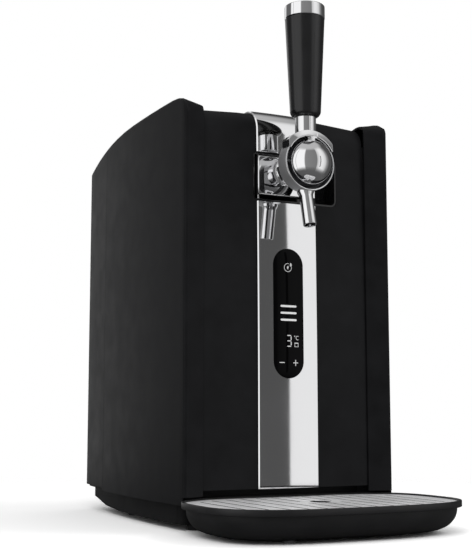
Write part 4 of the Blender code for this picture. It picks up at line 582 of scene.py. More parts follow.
def turned(profile, centre, axis="Z", steps=TURNED_STEPS):
    """Turn a profile of (radius, distance) pairs round an axis. A radius of zero closes an end."""
    body = bmesh.new()
    rings = []
    for radius, along in profile:
        if radius == 0:
            rings.append([body.verts.new((0, 0, along))])
            continue
        ring = []
        for step in range(steps):
            angle = 2 * math.pi * step / steps
            ring.append(body.verts.new((radius * math.cos(angle), radius * math.sin(angle), along)))
        rings.append(ring)
    pairs = list(zip(rings, rings[1:]))
    if all(radius > 0 for radius, _ in profile):
        pairs.append((rings[-1], rings[0]))
    for ring, following in pairs:
        for step in range(steps):
            after = (step + 1) % steps
            corners = [ring[step % len(ring)], ring[after % len(ring)]]
            corners += [following[after % len(following)], following[step % len(following)]]
            body.faces.new(list(dict.fromkeys(corners)))
    turns = {
        "X": Matrix.Rotation(math.radians(90), 4, "Y"),
        "Y": Matrix.Rotation(math.radians(-90), 4, "X"),
        "Z": Matrix.Identity(4),
    }
    bmesh.ops.transform(body, matrix=Matrix.Translation(centre) @ turns[axis], verts=body.verts)
    return body


def merged(bodies):
    """Several bodies in one bmesh."""
    whole = bmesh.new()
    for body in bodies:
        bmesh.ops.recalc_face_normals(body, faces=body.faces)
        part = bpy.data.meshes.new("part")
        body.to_mesh(part)
        body.free()
        whole.from_mesh(part)
        bpy.data.meshes.remove(part)
    return whole


def new_object(name, data):
    """An object in the scene's own collection."""
    made = bpy.data.objects.new(name, data)
    bpy.context.scene.collection.objects.link(made)
    return made


def smooth_by_angle(mesh, angle):
    """Shade a mesh smooth, apart from the edges that turn by more than an angle."""
    mesh.shade_smooth()
    mesh.set_sharp_from_angle(angle=math.radians(angle))


def mesh_object(name, body, angle=SMOOTH_DEG):
    """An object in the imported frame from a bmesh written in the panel's frame."""
    bmesh.ops.recalc_face_normals(body, faces=body.faces)
    bmesh.ops.translate(body, vec=(0, PLANE_Y, 0), verts=body.verts)
    mesh = bpy.data.meshes.new(name)
    body.to_mesh(mesh)
    body.free()
    smooth_by_angle(mesh, angle)
    return new_object(name, mesh)


def bake_modifiers(made, angle=SMOOTH_DEG):
    """Replace the mesh by its evaluated form, with its edges sharpened by angle."""
    bpy.context.view_layer.update()
    evaluated = made.evaluated_get(bpy.context.evaluated_depsgraph_get())
    mesh = bpy.data.meshes.new_from_object(evaluated)
    made.modifiers.clear()
    made.data = mesh
    smooth_by_angle(mesh, angle)


def carve(made, cutter_body, operation="DIFFERENCE", angle=SMOOTH_DEG):
    """Cut a body out of a piece, or join it on."""
    other = mesh_object("cutter", cutter_body)
    step = made.modifiers.new("carve", "BOOLEAN")
    step.operation = operation
    step.solver = "EXACT"
    step.object = other
    bake_modifiers(made, angle)
    bpy.data.objects.remove(other)


def bevel(made, width, segments, angle):
    """Round the edges that turn by more than an angle."""
    edge = made.modifiers.new("edge", "BEVEL")
    edge.width = width
    edge.segments = segments
    edge.limit_method = "ANGLE"
    edge.angle_limit = math.radians(angle)


def rounded(made, width, segments=3, angle=CRISP_DEG):
    """Round a piece's crisp edges in its mesh."""
    bevel(made, width, segments, angle)
    bake_modifiers(made)


def dress(made, look, slot, body, *replaced):
    """Give a piece its material, its CAD body and the nodes that it stands for."""
    made.data.materials.clear()
    made.data.materials.append(look)
    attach(made, body)
    if replaced:
        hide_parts(*replaced)


def smooth_group():
    """Node group that shades a mesh smooth and keeps its crisp edges."""
    group = bpy.data.node_groups.new("smooth_by_angle", "GeometryNodeTree")
    group.interface.new_socket("Geometry", in_out="INPUT", socket_type="NodeSocketGeometry")
    group.interface.new_socket("Geometry", in_out="OUTPUT", socket_type="NodeSocketGeometry")
    nodes, links = group.nodes, group.links
    start, end = added(nodes, "NodeGroupInput"), added(nodes, "NodeGroupOutput")
    faces = added(nodes, "GeometryNodeSetShadeSmooth", domain="FACE")
    edges = added(nodes, "GeometryNodeSetShadeSmooth", domain="EDGE")
    angle = added(nodes, "GeometryNodeInputMeshEdgeAngle")
    compare = added(nodes, "FunctionNodeCompare", operation="LESS_THAN")
    compare.inputs["B"].default_value = math.radians(SMOOTH_DEG)
    links.new(start.outputs["Geometry"], faces.inputs["Geometry"])
    links.new(faces.outputs["Geometry"], edges.inputs["Geometry"])
    links.new(angle.outputs["Unsigned Angle"], compare.inputs["A"])
    links.new(compare.outputs["Result"], edges.inputs["Shade Smooth"])
    links.new(edges.outputs["Geometry"], end.inputs["Geometry"])
    return group


def dress_nodes():
    """Materials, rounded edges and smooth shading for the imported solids, their meshes left as they are."""
    group = smooth_group()
    for look, names in NODE_LOOKS.items():
        for name in names:
            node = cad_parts[name]
            for slot in node.material_slots:
                slot.material = LOOKS[look]
            weld = node.modifiers.new("weld", "WELD")
            weld.merge_threshold = WELD
            if look in NODE_EDGES:
                bevel(node, NODE_EDGES[look], NODE_EDGE_STEPS, SMOOTH_DEG)
            smooth = node.modifiers.new("smooth", "NODES")
            smooth.node_group = group
            normals = node.modifiers.new("normals", "WEIGHTED_NORMAL")
            normals.keep_sharp = True


def front_outline(x, offset):
    """Side view of the upper strip at one place across it, from its lower end up and over the top edge."""
    crown = lid_top(x, 0.0) - lid_top(SHOULDER_HALF_WIDTH, 0.0)
    points = []
    for row in range(STRIP_UPPER_ROWS + 1):
        share = row / STRIP_UPPER_ROWS
        z = STRIP_UPPER_BOTTOM + (PANEL_ARC_START_Z - STRIP_UPPER_BOTTOM) * share
        lift = crown * max(0.0, z - LEAN_START_Z) / (PANEL_ARC_START_Z - LEAN_START_Z)
        points.append((front_y(z) - offset, z + lift * share))
    centre = (front_y(PANEL_ARC_START_Z) + PANEL_TOP_RADIUS, PANEL_ARC_START_Z + crown)
    points += arc(centre, PANEL_TOP_RADIUS + offset, 180, 90, PANEL_ARC_STEPS)[1:]
    points.append((PANEL_TOP_END_Y, centre[1] + PANEL_TOP_RADIUS + offset))
    return points


def strip_stations():
    """Places across the strip, each with how far its face is drawn in by the chamfer."""
    narrow = STRIP_HALF_WIDTH - STRIP_CHAMFER
    inner = [(narrow * step / STRIP_STATIONS, 0.0) for step in range(-STRIP_STATIONS, STRIP_STATIONS + 1)]
    return [(-STRIP_HALF_WIDTH, STRIP_CHAMFER)] + inner + [(STRIP_HALF_WIDTH, STRIP_CHAMFER)]


def stadium(margin):
    """The display's pill outline, grown by a margin."""
    radius = PILL_HALF_WIDTH + margin
    top = arc((0, PILL_TOP - PILL_HALF_WIDTH), radius, 0, 180, PILL_STEPS)
    bottom = arc((0, PILL_BOTTOM + PILL_HALF_WIDTH), radius, 180, 360, PILL_STEPS)
    return top + bottom


def strips():
    """Mirror strip: lower length with the display's window, and the upper length that wraps over the top."""
    outer = GAP + STRIP_THICKNESS
    wide, narrow = STRIP_HALF_WIDTH, STRIP_HALF_WIDTH - STRIP_CHAMFER
    sections = []
    for row in range(STRIP_ROWS + 1):
        z = PANEL_BOTTOM + (STRIP_LOWER_TOP - PANEL_BOTTOM) * row / STRIP_ROWS
        back, front = front_y(z) - GAP, front_y(z) - outer
        right = [(narrow, front), (wide, front + STRIP_CHAMFER), (wide, back)]
        left = [(-x, y) for x, y in reversed(right)]
        sections.append([(x, y, z) for x, y in left + right])
    lower = mesh_object("trim_strip_lower", loft(sections))
    carve(lower, prism(stadium(0), "Y", -WINDOW_CUT, WINDOW_CUT))
    dress(lower, LOOKS["mirror"], "chrome", "casing", "strip_lower")
    sections = []
    for x, drawn in strip_stations():
        outline = front_outline(x, outer - drawn) + front_outline(x, GAP)[::-1]
        sections.append([(x, y, z) for y, z in outline])
    upper = mesh_object("trim_strip_upper", loft(sections))
    dress(upper, LOOKS["mirror"], "chrome", "casing", "strip_upper")


def display_glass():
    """Black glass with a rounded rim."""
    part_rim = GLASS_RIM_SHARE * GLASS_RIM
    levels = (
        (-GAP, -GAP),
        (-GAP, -GLASS_FACE + GLASS_RIM),
        (-GAP - part_rim, -GLASS_FACE + part_rim),
        (-GAP - GLASS_RIM, -GLASS_FACE),
    )
    sections = [[(x, front_y(z) + y, z) for x, z in stadium(margin)] for margin, y in levels]
    glass = mesh_object("display_window", loft(sections), GLASS_SMOOTH_DEG)
    dress(glass, LOOKS["glass"], "gloss_black", "casing", "display_glass")


def pill(centre, half_length, half_height, steps):
    """Outline of a bar with round ends."""
    x, z = centre
    right = arc((x + half_length - half_height, z), half_height, -90, 90, steps)
    left = arc((x - half_length + half_height, z), half_height, 90, 270, steps)
    return right + left


def stroke(centre, radius, width, start_deg, end_deg, steps):
    """Outline of a stroke along an arc."""
    outer = arc(centre, radius, start_deg, end_deg, steps)
    inner = arc(centre, radius - width, end_deg, start_deg, steps)
    return outer + inner


def plate(outline):
    """A thin sign on the display's face from its outline in X and Z."""
    back = -GLASS_FACE - SIGN_LIFT
    body = prism(outline, "Y", back - SIGN_THICKNESS, back)
    for vertex in body.verts:
        vertex.co.y += front_y(vertex.co.z)
    return body


def display_signs():
    """Power ring, three level bars, the digit, the degree sign, the square, minus and plus."""
    outlines = [stroke(*sign) for sign in SIGN_ARCS]
    outlines += SIGN_OUTLINES
    outlines += [pill(*sign) for sign in SIGN_BARS]
    outlines += [block(*sign) for sign in SIGN_BLOCKS]
    signs = mesh_object("display_signs", merged([plate(outline) for outline in outlines]))
    dress(signs, LOOKS["sign"], "grey_plastic", "casing")


def door_face():
    """The strip's short length that carries the tap."""
    corners = block((-DOOR_LEFT, DOOR_BOTTOM), (DOOR_RIGHT, DOOR_TOP))
    face = mesh_object("tap_door_face", prism(corners, "Y", DOOR_FACE_Y, DOOR_FACE_Y + STRIP_THICKNESS))
    rounded(face, STRIP_CHAMFER, 1)
    carve(face, turned(rod_profile(TUBE_HOLE_RADIUS, DOOR_CUT), (0, 0, TAP_Z), "Y"))
    dress(face, LOOKS["mirror"], "chrome", "tap_door", "door_face")


def tap_casting():
    """Ring with rounded edges, spherical socket, shank and stepped rosette."""
    socket = BALL_RADIUS + SOCKET_CLEARANCE
    shell = socket + SOCKET_WALL
    end = DOOR_FACE_Y - GAP - TAP_PIVOT_Y
    ring_angle = math.degrees(math.acos(RING_BACK / shell))
    shank_angle = math.degrees(math.asin(SHANK_RADIUS / shell))
    bore_angle = math.degrees(math.asin(TUBE_HOLE_RADIUS / socket))
    roll_centre = (RING_RADIUS - RING_ROLL, -RING_FRONT + RING_ROLL)
    rosette_centre = (ROSETTE_RADIUS - TAP_EDGE, end - ROSETTE_THICKNESS + TAP_EDGE)
    profile = [(RING_MOUTH_RADIUS, RING_MOUTH_DEPTH)]
    profile += arc(roll_centre, RING_ROLL, RING_ROLL_START_DEG, 0, RING_ROLL_STEPS)
    profile += arc((RING_RADIUS - TAP_EDGE, RING_BACK - TAP_EDGE), TAP_EDGE, 0, 90, EDGE_STEPS)
    profile += sphere_profile(shell, ring_angle, shank_angle, SHELL_STEPS)
    profile.append((SHANK_RADIUS, end - COLLAR_START * ROSETTE_THICKNESS))
    profile.append((SHANK_RADIUS + COLLAR_STEP, end - COLLAR_END * ROSETTE_THICKNESS))
    profile.append((ROSETTE_RADIUS - ROSETTE_STEP, end - ROSETTE_THICKNESS))
    profile += arc(rosette_centre, TAP_EDGE, -90, 0, EDGE_STEPS)
    profile += [(ROSETTE_RADIUS, end), (TUBE_HOLE_RADIUS, end)]
    profile += sphere_profile(socket, bore_angle, SOCKET_END_DEG, SOCKET_STEPS)
    casting = mesh_object("tap_casting", turned(profile, TAP_CENTRE, "Y"))
    carve(casting, turned(rod_profile(PIN_BORE_RADIUS, PIN_BORE_REACH), TAP_CENTRE, "X", PIN_BORE_STEPS))
    dress(casting, LOOKS["chrome"], "chrome", "tap_door", "tap_body")
    paint_ring_satin_and_mouth_shade(casting)


def paint_ring_satin_and_mouth_shade(casting):
    """Satin on the ring's outer band, and dark grey in its mouth as painted shade between the ring and the
    ball.
    """
    casting.data.materials.append(LOOKS["satin"])
    # The dark grey material is painted shade for the ring's mouth.
    casting.data.materials.append(LOOKS["grey"])
    for face in casting.data.polygons:
        across = math.hypot(face.center.x, face.center.z - TAP_Z)
        along = face.center.y - PLANE_Y - TAP_PIVOT_Y
        in_shaded_mouth = -RING_FRONT + 2 * RING_ROLL < along < RING_BACK / 2
        if across > RING_RADIUS - RING_SKIN and abs(face.normal.y) < SIDE_NORMAL:
            face.material_index = 1
        # Faces inside the mouth take the dark grey: painted shade where the ring meets the ball.
        elif in_shaded_mouth and across < RING_RADIUS - 2 * RING_ROLL:
            face.material_index = 2


def spout_matrix():
    """Places a part turned about Z along the spout."""
    turn = Matrix.Rotation(math.radians(180 - SPOUT_LEAN_DEG), 4, "X")
    return Matrix.Translation((0, SPOUT_ROOT_Y, TAP_Z - RING_RADIUS)) @ turn


def spout():
    """Leaning open tube with a rounded mouth and a flared root that follows the ring."""
    thick = (SPOUT_RADIUS - SPOUT_BORE_RADIUS) / 2
    profile = [
        (SPOUT_BORE_RADIUS, -SPOUT_ROOT_SINK),
        (SPOUT_ROOT_RADIUS, -SPOUT_ROOT_SINK),
        (SPOUT_ROOT_RADIUS, SPOUT_COLLAR),
    ]
    for step in range(1, SPOUT_FLARE_STEPS + 1):
        share = step / SPOUT_FLARE_STEPS
        flare = (1 - math.sin(share * math.pi / 2)) * (SPOUT_ROOT_RADIUS - SPOUT_RADIUS)
        profile.append((SPOUT_RADIUS + flare, SPOUT_COLLAR + (SPOUT_ROOT_LENGTH - SPOUT_COLLAR) * share))
    profile += arc((SPOUT_RADIUS - thick, SPOUT_LENGTH - thick), thick, 0, 90, EDGE_STEPS)
    profile += arc((SPOUT_BORE_RADIUS + thick, SPOUT_LENGTH - thick), thick, 90, 180, EDGE_STEPS)[1:]
    body = turned(profile, (0, 0, 0))
    bmesh.ops.transform(body, matrix=spout_matrix(), verts=body.verts)
    tube = mesh_object("spout_tube", body)
    carve(tube, turned(rod_profile(RING_RADIUS - RING_SKIN, SPOUT_CUT), TAP_CENTRE, "Y", SPOUT_CUT_STEPS))
    dress(tube, LOOKS["chrome"], "chrome", "tap_door", "spout")


def ball():
    """Polished ball with the bore of its pivot pin."""
    made = mesh_object("mirror_ball", turned(ball_profile(BALL_RADIUS), TAP_CENTRE, "Y"))
    bore = rod_profile(PIN_BORE_RADIUS, BALL_RADIUS + PIN_BORE_EXCESS)
    carve(made, turned(bore, TAP_CENTRE, "X", PIN_BORE_STEPS), angle=BALL_SMOOTH_DEG)
    dress(made, LOOKS["chrome"], "chrome", "lever", "tap_ball")


def yoke():
    """Saddle over the ring with a sloped face and upright ends, the tongue on the ball, and the neck."""
    low, high = 90 - YOKE_HALF_ANGLE_DEG, 90 + YOKE_HALF_ANGLE_DEG
    corners = (
        (YOKE_FLANGE_RADIUS, YOKE_FRONT_Y),
        (YOKE_RIM_RADIUS, YOKE_FRONT_Y),
        (YOKE_RIM_RADIUS + YOKE_RIM_STEP, YOKE_FRONT_Y + YOKE_RIM_STEP_BACK),
        (YOKE_OUTER_RADIUS, YOKE_SHOULDER_Y),
        (YOKE_OUTER_RADIUS, YOKE_BACK_Y),
        (YOKE_INNER_RADIUS, YOKE_BACK_Y),
        (YOKE_INNER_RADIUS, YOKE_FLANGE_BACK_Y),
        (YOKE_FLANGE_RADIUS, YOKE_FLANGE_BACK_Y),
    )
    rows = []
    for radius, y in corners:
        rows.append([(x, y, z) for x, z in arc((0, TAP_Z), radius, low, high, YOKE_STEPS)])
    sections = [[row[step] for row in rows] for step in range(YOKE_STEPS + 1)]
    saddle = mesh_object("lever_saddle", loft(sections))
    for side in (-1, 1):
        near, far = sorted((side * YOKE_HALF_WIDTH, side * 2 * YOKE_HALF_WIDTH))
        ends = block((near, TAP_Z), (far, TAP_Z + 2 * YOKE_OUTER_RADIUS))
        carve(saddle, prism(ends, "Y", 2 * YOKE_FRONT_Y, 0))
    rounded(saddle, YOKE_EDGE, angle=YOKE_CRISP_DEG)
    middle = TAP_Z + (YOKE_INNER_RADIUS + YOKE_OUTER_RADIUS) / 2
    top = HANDLE_BOTTOM - GAP
    neck = [(0, middle), (NECK_RADIUS, middle), (NECK_RADIUS, top), (0, top)]
    carve(saddle, turned(neck, (0, LEVER_Y, 0)), "UNION")
    tongue_low, tongue_high = TAP_Z + BALL_RADIUS / 2, TAP_Z + YOKE_INNER_RADIUS
    tongue = block((-TONGUE_HALF_WIDTH, tongue_low), (TONGUE_HALF_WIDTH, tongue_high))
    carve(saddle, prism(tongue, "Y", YOKE_FRONT_Y + TONGUE_SETBACK, YOKE_FLANGE_BACK_Y), "UNION")
    lens = prism(lens_outline(), "Y", YOKE_FRONT_Y + LENS_SETBACK, YOKE_FLANGE_BACK_Y - LENS_SETBACK)
    carve(saddle, lens, "UNION")
    carve(saddle, turned(ball_profile(BALL_RADIUS + GAP), TAP_CENTRE, "Y"))
    dress(saddle, LOOKS["chrome"], "chrome", "lever", "tap_yoke")


def lens_outline():
    """The tongue's lens-shaped root: an arc that dips under the saddle's flange, closed over it."""
    chord = TAP_Z + YOKE_FLANGE_RADIUS * math.cos(math.asin(LENS_HALF_WIDTH / YOKE_FLANGE_RADIUS))
    dip = TAP_Z + YOKE_FLANGE_RADIUS - LENS_DEPTH
    radius = (LENS_HALF_WIDTH**2 + (chord - dip) ** 2) / (2 * (chord - dip))
    half = math.degrees(math.asin(LENS_HALF_WIDTH / radius))
    lens = arc((0, dip + radius), radius, 270 - half, 270 + half, LENS_STEPS)
    return lens + [(LENS_HALF_WIDTH, TAP_Z + YOKE_RIM_RADIUS), (-LENS_HALF_WIDTH, TAP_Z + YOKE_RIM_RADIUS)]


def handle():
    """Tapered grip with a rounded lower end, and its polished cap."""
    end, edge = HANDLE_END_RADIUS, HANDLE_EDGE
    profile = [(0, HANDLE_BOTTOM)]
    profile += arc((HANDLE_BOTTOM_RADIUS - end, HANDLE_BOTTOM + end), end, 270, 360, HANDLE_END_STEPS)
    profile += [(HANDLE_TOP_RADIUS, HANDLE_TOP - edge)]
    profile += arc((HANDLE_TOP_RADIUS - edge, HANDLE_TOP - edge), edge, 0, 90, HANDLE_EDGE_STEPS)
    profile.append((0, HANDLE_TOP))
    grip = mesh_object("handle_grip", turned(profile, (0, LEVER_Y, 0)))
    dress(grip, LOOKS["grip"], "gloss_black", "lever", "tap_handle")
    low = HANDLE_TOP + GAP
    profile = [(0, low), (CAP_RADIUS - CAP_CHAMFER, low), (CAP_RADIUS, low + CAP_CHAMFER)]
    profile += arc((CAP_RADIUS - CAP_EDGE, CAP_TOP - CAP_EDGE), CAP_EDGE, 0, 90, CAP_STEPS)
    for step in range(1, CAP_STEPS):
        share = 1 - step / CAP_STEPS
        profile.append(((CAP_RADIUS - CAP_EDGE) * share, CAP_TOP + CAP_DOME * (1 - share**2)))
    profile.append((0, CAP_TOP + CAP_DOME))
    cap = mesh_object("handle_cap", turned(profile, (0, LEVER_Y, 0)))
    dress(cap, LOOKS["chrome"], "chrome", "lever", "tap_cap")


def tray_outline(inset, height, steps=TRAY_STEPS):
    """The drip tray's rounded outline, drawn in by an inset, as a ring at one height."""
    middle_y = (TRAY_BACK - TRAY_FRONT) / 2
    half_depth = (TRAY_BACK + TRAY_FRONT) / 2 - inset
    half_across = TRAY_HALF_WIDTH - inset
    ring = []
    for step in range(steps):
        angle = 2 * math.pi * step / steps
        across = math.copysign(abs(math.cos(angle)) ** (2 / TRAY_ROUNDNESS), math.cos(angle))
        along = math.copysign(abs(math.sin(angle)) ** (2 / TRAY_ROUNDNESS), math.sin(angle))
        ring.append((half_across * across, middle_y + half_depth * along, height))
    return ring


def bulge_shares():
    """Shares outwards and upwards along the bowl's rounded side."""
    shares = []
    for step in range(BULGE_STEPS + 1):
        angle = math.pi / 2 * step / BULGE_STEPS
        shares.append((math.sin(angle) ** (2 / BULGE_POWER), 1 - math.cos(angle) ** (2 / BULGE_POWER)))
    return shares


def tray_bowl():
    """Bowl with a rounded underside, an overhanging rim with soft edges and the ledge for the grille."""
    rim_low = TRAY_TOP - TRAY_RIM_HEIGHT
    ledge_z = TRAY_TOP - GRILLE_SINK - GRILLE_THICKNESS - GAP
    inner_inset = TRAY_RIM_WIDTH + GRILLE_LEDGE
    floor = TRAY_BOTTOM + TRAY_WALL
    edge = TRAY_RIM_EDGE
    reach = TRAY_FLOOR_INSET - TRAY_RIM_OVERHANG
    levels = []
    for out_share, up_share in bulge_shares():
        z = TRAY_BOTTOM + (rim_low - TRAY_BOTTOM) * up_share
        levels.append((TRAY_FLOOR_INSET - reach * out_share, z))
    levels += arc((edge, rim_low + edge), edge, 270, 180, TRAY_RIM_EDGE_STEPS)
    levels += arc((edge, TRAY_TOP - edge), edge, 180, 90, TRAY_RIM_EDGE_STEPS)
    levels.append((TRAY_RIM_WIDTH - TRAY_RIM_CHAMFER, TRAY_TOP))
    levels.append((TRAY_RIM_WIDTH, TRAY_TOP - TRAY_RIM_CHAMFER))
    levels.append((TRAY_RIM_WIDTH, ledge_z))
    levels.append((inner_inset, ledge_z))
    for out_share, up_share in reversed(bulge_shares()):
        inset = TRAY_FLOOR_INSET + TRAY_WALL - (TRAY_FLOOR_INSET - inner_inset) * out_share
        levels.append((inset, floor + (rim_low - floor) * up_share))
    bowl = mesh_object("tray_shell", loft([tray_outline(inset, z) for inset, z in levels]))
    wall_y = TRAY_BACK - TRAY_RIM_OVERHANG - TRAY_WALL
    tongue_top = TRAY_TONGUE_BOTTOM + TRAY_TONGUE_HEIGHT
    for x in (-TRAY_TONGUE_X, TRAY_TONGUE_X):
        near, far = x - TRAY_TONGUE_HALF_WIDTH, x + TRAY_TONGUE_HALF_WIDTH
        corners = block((near, TRAY_TONGUE_BOTTOM), (far, tongue_top))
        carve(bowl, prism(corners, "Y", wall_y, TRAY_BACK + TRAY_TONGUE_REACH), "UNION")
    dress(bowl, LOOKS["tray"], "black_plastic", "tray", "tray_bowl")


def slot_outlines():
    """Round-ended slots that follow the tray's outline, those near the hole parted by a bar."""
    coarse = tray_outline(TRAY_RIM_WIDTH + GRILLE_MARGIN, 0, GRILLE_GUIDE_STEPS)
    reach = TRAY_HALF_WIDTH - TRAY_RIM_WIDTH - GRILLE_MARGIN
    columns = int(reach / GRILLE_SLOT_PITCH)
    radius = GRILLE_SLOT_WIDTH / 2
    bar_back = GRILLE_BAR_Y + GRILLE_BAR / 2 + radius
    bar_front = GRILLE_BAR_Y - GRILLE_BAR / 2 - radius
    slots = []
    for column in range(-columns, columns + 1):
        x = column * GRILLE_SLOT_PITCH
        near = sorted(coarse, key=lambda point: abs(point[0] - x))[:GRILLE_GUIDE_NEAREST]
        back = max(point[1] for point in near) - radius
        front = min(point[1] for point in near) + radius
        spans = [(front, back)]
        if abs(column) <= GRILLE_SPLIT_COLUMNS:
            spans = [(bar_back, back), (front, bar_front)]
        for start, end in spans:
            back_end = arc((x, end), radius, 0, 180, GRILLE_SLOT_END_STEPS)
            slots.append(back_end + arc((x, start), radius, 180, 360, GRILLE_SLOT_END_STEPS))
    return slots


def grille():
    """Polished slotted plate with softened edges, with painted shade: dark plastic inside its slots."""
    top = TRAY_TOP - GRILLE_SINK
    outline = [point[:2] for point in tray_outline(TRAY_RIM_WIDTH + GAP, 0)]
    slotted = mesh_object("grille_plate", prism(outline, "Z", top - GRILLE_THICKNESS, top))
    low, high = top - 2 * GRILLE_THICKNESS, top + GRILLE_THICKNESS
    carve(slotted, merged([prism(slot, "Z", low, high) for slot in slot_outlines()]))
    hole = arc((0, GRILLE_BAR_Y), GRILLE_HOLE_RADIUS, 0, 360, GRILLE_HOLE_STEPS)[:-1]
    carve(slotted, prism(hole, "Z", low, high))
    rounded(slotted, GRILLE_EDGE, GRILLE_EDGE_STEPS)
    dress(slotted, LOOKS["steel"], "chrome", "grille", "drip_grille")
    # The slot walls and the plate's edge take the dark tray plastic as painted shade.
    slotted.data.materials.append(LOOKS["tray"])
    for face in slotted.data.polygons:
        face.material_index = int(abs(face.normal.z) < SLOT_SHADE_NORMAL)


def rear_seals():
    """Sealing strips that close the seam between the base pan and the rear cover's sides."""
    bodies = []
    for side in (-1, 1):
        outline = [(side * x, y) for x, y in SEAL_OUTLINE]
        bodies.append(prism(outline, "Z", SEAL_BOTTOM, SEAL_TOP))
    seals = mesh_object("rear_seals", merged(bodies))
    dress(seals, LOOKS["rubber"], "black_plastic", "casing")


def front_seals():
    """Strips behind the front that close the space under each wing and the seam beside the front panel."""
    bodies = []
    wing_back = WING_SEAL_Y + WING_SEAL_THICKNESS
    for side in (-1, 1):
        corners = block((side * WING_SEAL_NEAR, WING_SEAL_Y), (side * WING_SEAL_FAR, wing_back))
        bodies.append(prism(corners, "Z", WING_SEAL_BOTTOM, WING_SEAL_TOP))
        sections = []
        for row in range(TAPE_ROWS + 1):
            z = TAPE_BOTTOM + (TAPE_TOP - TAPE_BOTTOM) * row / TAPE_ROWS
            front = front_y(z) + TAPE_SETBACK
            corners = block((side * TAPE_NEAR, front), (side * TAPE_FAR, front + TAPE_THICKNESS))
            sections.append([(x, y, z) for x, y in corners])
        bodies.append(loft(sections))
    seals = mesh_object("front_seals", merged(bodies))
    dress(seals, LOOKS["rubber"], "black_plastic", "casing")


def bare_tree(owner):
    """The emptied nodes of a material or world, and their links."""
    owner.use_nodes = True
    owner.node_tree.nodes.clear()
    return owner.node_tree.nodes, owner.node_tree.links


def flat_object(name, corners, paint):
    """One painted four-cornered face."""
    mesh = bpy.data.meshes.new(name)
    mesh.from_pydata(corners, [], [(0, 1, 2, 3)])
    mesh.materials.append(paint)
    return new_object(name, mesh)


def floor_plane():
    """White floor that keeps the object's shadow and melts into the white surroundings."""
    paint = bpy.data.materials.new("floor_paint")
    nodes, links = bare_tree(paint)
    output = added(nodes, "ShaderNodeOutputMaterial")
    rays = added(nodes, "ShaderNodeLightPath")
    matt = added(nodes, "ShaderNodeMix", data_type="RGBA")
    matt.inputs[6].default_value = grey(FLOOR_TONE)
    matt.inputs[7].default_value = grey(FLOOR_GLOSSY_TONE)
    links.new(rays.outputs["Is Glossy Ray"], matt.inputs[0])
    seen = added(nodes, "ShaderNodeMix", data_type="RGBA")
    seen.inputs[7].default_value = grey(FLOOR_CAMERA_TONE)
    links.new(rays.outputs["Is Camera Ray"], seen.inputs[0])
    links.new(matt.outputs[2], seen.inputs[6])
    shader = added(nodes, "ShaderNodeBsdfDiffuse")
    links.new(seen.outputs[2], shader.inputs["Color"])
    place = added(nodes, "ShaderNodeTexCoord")
    distance = added(nodes, "ShaderNodeVectorMath", operation="LENGTH")
    links.new(place.outputs["Object"], distance.inputs[0])
    fade = added(nodes, "ShaderNodeMapRange", interpolation_type="SMOOTHSTEP")
    fade.inputs["From Min"].default_value = FLOOR_FADE_START
    fade.inputs["From Max"].default_value = FLOOR_REACH
    links.new(distance.outputs["Value"], fade.inputs["Value"])
    clear = added(nodes, "ShaderNodeBsdfTransparent")
    mix = added(nodes, "ShaderNodeMixShader")
    links.new(fade.outputs["Result"], mix.inputs[0])
    links.new(shader.outputs[0], mix.inputs[1])
    links.new(clear.outputs[0], mix.inputs[2])
    links.new(mix.outputs[0], output.inputs["Surface"])
    corners = block((-FLOOR_REACH, -FLOOR_REACH), (FLOOR_REACH, FLOOR_REACH))
    floor = flat_object("floor", [(x, y, 0) for x, y in corners], paint)


def dark_card():
    """An upright card in front that only the polished metal sees."""
    paint = bpy.data.materials.new("dark_card_paint")
    nodes, links = bare_tree(paint)
    output = added(nodes, "ShaderNodeOutputMaterial")
    glow = added(nodes, "ShaderNodeEmission")
    glow.inputs["Color"].default_value = grey(DARK_CARD_TONE)
    links.new(glow.outputs[0], output.inputs["Surface"])
    left, y, low = DARK_CARD_LOW
    right, y, high = DARK_CARD_HIGH
    made = flat_object("dark_card", [(x, y, z) for x, z in block((left, low), (right, high))], paint)
    made.location = (0, PLANE_Y, 0)
    for kind in ("camera", "diffuse", "transmission", "volume_scatter", "shadow"):
        setattr(made, "visible_" + kind, False)


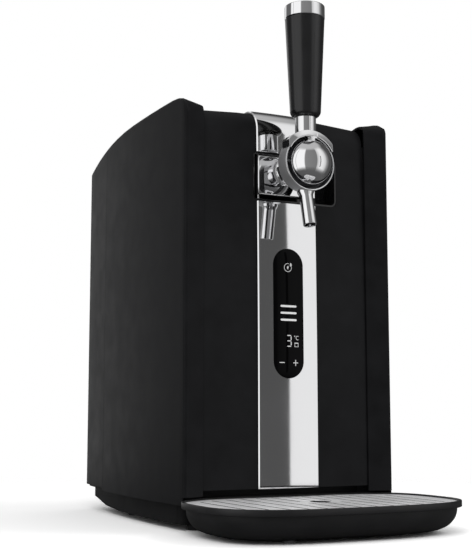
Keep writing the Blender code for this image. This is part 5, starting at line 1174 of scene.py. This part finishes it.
def surroundings():
    """White for the camera, soft even light, and the studio's bright and dark sides for polished metal."""
    world = bpy.data.worlds.new("studio")
    bpy.context.scene.world = world
    nodes, links = bare_tree(world)
    output = added(nodes, "ShaderNodeOutputWorld")
    rays = added(nodes, "ShaderNodeLightPath")
    place = added(nodes, "ShaderNodeTexCoord")
    split = added(nodes, "ShaderNodeSeparateXYZ")
    links.new(place.outputs["Generated"], split.inputs["Vector"])
    back = added(nodes, "ShaderNodeMath", operation="MULTIPLY")
    back.inputs[1].default_value = -1.0
    links.new(split.outputs["Y"], back.inputs[0])
    turn = added(nodes, "ShaderNodeMath", operation="ARCTAN2")
    links.new(split.outputs["X"], turn.inputs[0])
    links.new(back.outputs[0], turn.inputs[1])
    span = added(nodes, "ShaderNodeMapRange")
    span.inputs["From Min"].default_value = -math.pi
    span.inputs["From Max"].default_value = math.pi
    links.new(turn.outputs[0], span.inputs["Value"])
    bands = added(nodes, "ShaderNodeValToRGB")
    ramp = bands.color_ramp
    ramp.elements[0].color = grey(BAND_STOPS[0][1])
    ramp.elements[1].color = grey(BAND_STOPS[-1][1])
    for angle, level in BAND_STOPS[1:-1]:
        stop = ramp.elements.new((angle + 180.0) / 360.0)
        stop.color = grey(level)
    links.new(span.outputs["Result"], bands.inputs["Fac"])
    rise = added(nodes, "ShaderNodeMapRange")
    rise.inputs["From Min"].default_value = SKY_START
    rise.inputs["From Max"].default_value = SKY_FULL
    links.new(split.outputs["Z"], rise.inputs["Value"])
    sky = added(nodes, "ShaderNodeMix", data_type="RGBA")
    links.new(rise.outputs["Result"], sky.inputs[0])
    links.new(bands.outputs["Color"], sky.inputs[6])
    sky.inputs[7].default_value = grey(SKY_TONE)
    ambient = added(nodes, "ShaderNodeBackground")
    ambient.inputs["Color"].default_value = grey(1)
    ambient.inputs["Strength"].default_value = AMBIENT
    white = added(nodes, "ShaderNodeBackground")
    white.inputs["Color"].default_value = grey(1)
    mirror = added(nodes, "ShaderNodeBackground")
    links.new(sky.outputs[2], mirror.inputs["Color"])
    polished = added(nodes, "ShaderNodeMixShader")
    links.new(rays.outputs["Is Glossy Ray"], polished.inputs[0])
    links.new(ambient.outputs[0], polished.inputs[1])
    links.new(mirror.outputs[0], polished.inputs[2])
    clear = added(nodes, "ShaderNodeMath", operation="MAXIMUM")
    links.new(rays.outputs["Is Camera Ray"], clear.inputs[0])
    links.new(rays.outputs["Is Transmission Ray"], clear.inputs[1])
    final = added(nodes, "ShaderNodeMixShader")
    links.new(clear.outputs[0], final.inputs[0])
    links.new(polished.outputs[0], final.inputs[1])
    links.new(white.outputs[0], final.inputs[2])
    links.new(final.outputs[0], output.inputs["Surface"])


def lamp(name, place, power):
    """A large soft lamp that faces the object's middle, and that polished metal doesn't see."""
    light = bpy.data.lights.new(name, "AREA")
    light.size = LAMP_SIZE
    light.energy = power
    made = new_object(name, light)
    made.location = place
    made.rotation_euler = (Vector(LAMP_TARGET) - Vector(place)).to_track_quat("-Z", "Y").to_euler()
    made.visible_glossy = False


def camera():
    """The photograph's camera."""
    lens = bpy.data.cameras.new("camera")
    lens.lens = CAMERA_LENS_MM
    lens.sensor_width = SENSOR_MM
    made = new_object("camera", lens)
    made.location = Vector(CAMERA_PLACE) + Vector((0, PLANE_Y, 0))
    made.rotation_euler = (math.radians(90 + CAMERA_PITCH_DEG), 0, -math.radians(CAMERA_YAW_DEG))
    bpy.context.scene.camera = made


bpy.context.scene.view_settings.view_transform = "Standard"
camera()
strips()
display_glass()
display_signs()
door_face()
tap_casting()
spout()
ball()
yoke()
handle()
tray_bowl()
grille()
rear_seals()
front_seals()
dress_nodes()
floor_plane()
surroundings()
dark_card()
for settings in LAMPS:
    lamp(*settings)
